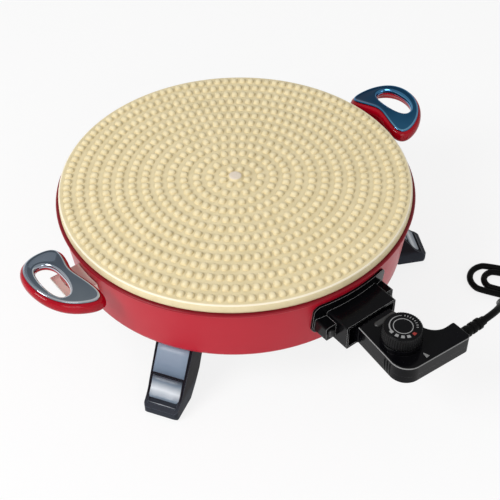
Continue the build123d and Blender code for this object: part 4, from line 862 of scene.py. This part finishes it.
def inlay_strip(mesh, azimuth, line, narrow, flange, deep):
    """Closed strip along a line of the leg's side view, narrower at its far end."""
    out = Vector((math.cos(math.radians(azimuth)), math.sin(math.radians(azimuth)), 0))
    side = Vector((-out.y, out.x, 0))
    loops = []
    for index, (x, z) in enumerate(line):
        near, far = line[max(index - 1, 0)], line[min(index + 1, len(line) - 1)]
        along = Vector((far[0] - near[0], far[1] - near[1])).normalized()
        lift = Vector((-along.y, along.x))
        cut = narrow * (index == len(line) - 1)
        half, wide = INLAY_HALF - cut, flange - cut
        flat = wide - INLAY_SLOPE
        corners = (
            (-half, -deep), (half, -deep), (half, INLAY_SEAT), (wide, INLAY_SEAT),
            (flat, INLAY_PROUD), (0.5 * wide, INLAY_PROUD), (-0.5 * wide, INLAY_PROUD),
            (-flat, INLAY_PROUD), (-wide, INLAY_SEAT), (-half, INLAY_SEAT),
        )
        loop = []
        for across, up in corners:
            spot = out * (x + lift.x * up) + side * across
            loop.append(at_axis(spot.x, spot.y, z + lift.y * up))
        loops.append(loop)
    join_loops(mesh, loops)


def make_leg_inlays(finishes):
    """Three strips on each leg's outer face."""
    for name, azimuth in LEGS.items():
        mesh = bmesh.new()
        inlay_strip(mesh, azimuth, PANEL_LINE, 0.0, INLAY_FLANGE, INLAY_DEEP)
        inlay_strip(mesh, azimuth, SCOOP_LINE, SCOOP_NARROW, SCOOP_FLANGE, INLAY_DEEP)
        inlay_strip(mesh, azimuth, LIP_LINE, 0.0, LIP_FLANGE, LIP_DEEP)
        piece = add_piece(f"leg_inlay_{name}", "cooker", finishes["leg_face"], mesh)
        smooth(piece)


# Dial marks, pointer and the ribs of the case's grip. Marks stand proud by MARK_T and are sunk
# as deep. Those on the dial are arcs, with angles in degrees and radii from its centre
DIAL_AT = (0.0, -241.0)
DIAL_FACE = 125.5
CASE_TOP = 107.0
MARK_T = 0.12
CENTRE_RING = (8.3, 9.0)
SETTING_WEDGE = (166, 52, 11.2, 12.6)
WEDGE_TAPER = 1.0
BLOCK_ANGLES = (172, 200, 225, 249)
BLOCK_HALF = 7
BLOCK_RADII = (11.0, 14.0)
TICK_ANGLES = (39, 27, 15, 3, -9, -21, -33, -45)
TICK_HALF = 1.6
TICK_RADII = (11.6, 13.4)
RED_ANGLES = (270, 284)
ARC_STEP = 6
RING_SIDES = 60
POINTER_LEFT = ((2.9, -269.4), (4.3, -263.6))
POINTER_RIGHT = ((6.9, -269.0), (4.9, -263.5))
RIB_YS = (-245.0, -248.6, -252.2)
RIB_LEVELS = ((88.5, 0.1), (89.5, 0.8), (103.0, 0.8), (104.0, 0.1))  # height, radius
RIB_SIDES = 8
WALL_START = (-19.0, -206.0)  # the case's slanting left wall, as x and y
WALL_END = (-24.0, -253.5)


def add_band(mesh, inner, outer, z, closed=False):
    """Thin raised band between two lines of points in plan."""
    loops = []
    for a, b in zip(inner, outer):
        corners = ((a, z - MARK_T), (b, z - MARK_T), (b, z + MARK_T), (a, z + MARK_T))
        loops.append([at_axis(x, y, height) for (x, y), height in corners])
    join_loops(mesh, loops, closed=closed)


def dial_arc(mesh, start, end, inner, outer, closed=False, taper=0.0):
    """Arc band on the dial; taper thins it towards its end."""
    count = RING_SIDES if closed else max(3, int(abs(end - start) / ARC_STEP))
    lines = ([], [])
    for i in range(count if closed else count + 1):
        angle = math.radians(start + (end - start) * i / count)
        for line, radius in zip(lines, (inner + taper * i / count, outer)):
            x = DIAL_AT[0] + radius * math.cos(angle)
            line.append((x, DIAL_AT[1] + radius * math.sin(angle)))
    add_band(mesh, *lines, DIAL_FACE, closed)


def make_dial_marks(finishes):
    """Generic marks on the knob: a ring, a wedge, blocks and ticks, and one red block."""
    mesh = bmesh.new()
    dial_arc(mesh, 0, 360, *CENTRE_RING, closed=True)
    dial_arc(mesh, *SETTING_WEDGE, taper=WEDGE_TAPER)
    for angle in BLOCK_ANGLES:
        dial_arc(mesh, angle - BLOCK_HALF, angle + BLOCK_HALF, *BLOCK_RADII)
    for angle in TICK_ANGLES:
        dial_arc(mesh, angle - TICK_HALF, angle + TICK_HALF, *TICK_RADII)
    add_piece("dial_marks", "dial", finishes["dial_white"], mesh)
    mesh = bmesh.new()
    dial_arc(mesh, *RED_ANGLES, *BLOCK_RADII)
    add_piece("dial_red_mark", "dial", finishes["dial_red"], mesh)


def make_case_details(finishes):
    """Pointer beside the dial, and upright ribs on the case's left wall."""
    mesh = bmesh.new()
    add_band(mesh, POINTER_LEFT, POINTER_RIGHT, CASE_TOP)
    add_piece("pointer_mark", "control", finishes["pointer_grey"], mesh)
    mesh = bmesh.new()
    slant = (WALL_END[0] - WALL_START[0]) / (WALL_END[1] - WALL_START[1])
    for y in RIB_YS:
        x = WALL_START[0] + slant * (y - WALL_START[1])
        join_loops(mesh, [
            [
                at_axis(x + radius * math.cos(t), y + radius * math.sin(t), z)
                for t in turns(RIB_SIDES, 0.5)
            ]
            for z, radius in RIB_LEVELS
        ])
    ribs = add_piece("case_ribs", "control", finishes["black_plastic"], mesh)
    smooth(ribs)


# Floor, world and lamps, in metres
FLOOR_GREY = (0.9, 0.9, 0.9, 1)
FLOOR_GLOW = 0.82
FLOOR_DROP = 0.0002  # keeps the floor clear of the legs' pads
# radius and height of the stage's rings
STAGE_PROFILE = ((10.0, 0.0), (11.5, 0.3), (12.5, 1.2), (13.0, 2.5), (13.0, 4.5))
STAGE_SIDES = 64
WORLD_STRENGTH = 0.5
LAMPS = {"key": ((-1.5, 0.05, 1.4), 24), "fill": ((-0.5, -1.5, 1.0), 5)}  # place and watts
LAMP_TARGET = (0, 0, 0.1)
LAMP_SIZE = 0.9


def floor_finish():
    """White; it shines to the camera and to glossy pieces, and still shows the shadow."""
    made = Finish("floor", specular=0.0, roughness=0.9)
    made.shader.inputs["Base Color"].default_value = FLOOR_GREY
    glow = made.node("ShaderNodeEmission")
    path = made.node("ShaderNodeLightPath")
    seen = made.node("ShaderNodeMath", operation="MAXIMUM")
    made.link(path.outputs["Is Camera Ray"], seen.inputs[0])
    made.link(path.outputs["Is Glossy Ray"], seen.inputs[1])
    share = made.node("ShaderNodeMath", operation="MULTIPLY")
    share.inputs[1].default_value = FLOOR_GLOW
    made.link(seen.outputs["Value"], share.inputs[0])
    both = made.node("ShaderNodeMixShader")
    made.link(share.outputs["Value"], both.inputs["Fac"])
    made.link(made.shader.outputs["BSDF"], both.inputs[1])
    made.link(glow.outputs["Emission"], both.inputs[2])
    made.link(both.outputs["Shader"], made.tree.nodes["Material Output"].inputs["Surface"])
    return made.material


def make_stage():
    """Round floor whose edge rises far away."""
    mesh = bmesh.new()
    rows = []
    for radius, z in STAGE_PROFILE:
        ring = [(radius * math.cos(t), radius * math.sin(t), z) for t in turns(STAGE_SIDES)]
        rows.append([mesh.verts.new(point) for point in ring])
    for low, high in zip(rows, rows[1:]):
        for i in range(STAGE_SIDES):
            mesh.faces.new((low[i - 1], low[i], high[i], high[i - 1]))
    mesh.faces.new(rows[0])
    data = bpy.data.meshes.new("floor")
    mesh.to_mesh(data)
    mesh.free()
    data.materials.append(floor_finish())
    floor = bpy.data.objects.new("floor", data)
    floor.location.z = -FLOOR_DROP
    bpy.context.collection.objects.link(floor)


def make_world():
    world = bpy.data.worlds.new("studio")
    bpy.context.scene.world = world
    world.use_nodes = True
    background = world.node_tree.nodes["Background"]
    background.inputs["Color"].default_value = (1, 1, 1, 1)
    background.inputs["Strength"].default_value = WORLD_STRENGTH


def make_lamps():
    for name, (place, watts) in LAMPS.items():
        data = bpy.data.lights.new(name, "AREA")
        data.shape = "RECTANGLE"
        data.size = data.size_y = LAMP_SIZE
        data.energy = watts
        lamp = bpy.data.objects.new(name, data)
        bpy.context.collection.objects.link(lamp)
        lamp.location = place
        toward = Vector(LAMP_TARGET) - Vector(place)
        lamp.rotation_euler = toward.to_track_quat("-Z", "Y").to_euler()


make_camera()
finishes = make_finishes()
make_lead(finishes)
make_plate(finishes)
make_handles(finishes)
make_leg_inlays(finishes)
make_dial_marks(finishes)
make_case_details(finishes)
dress_cad_nodes(finishes)
make_stage()
make_world()
make_lamps()
bpy.context.scene.view_settings.view_transform = "Standard"
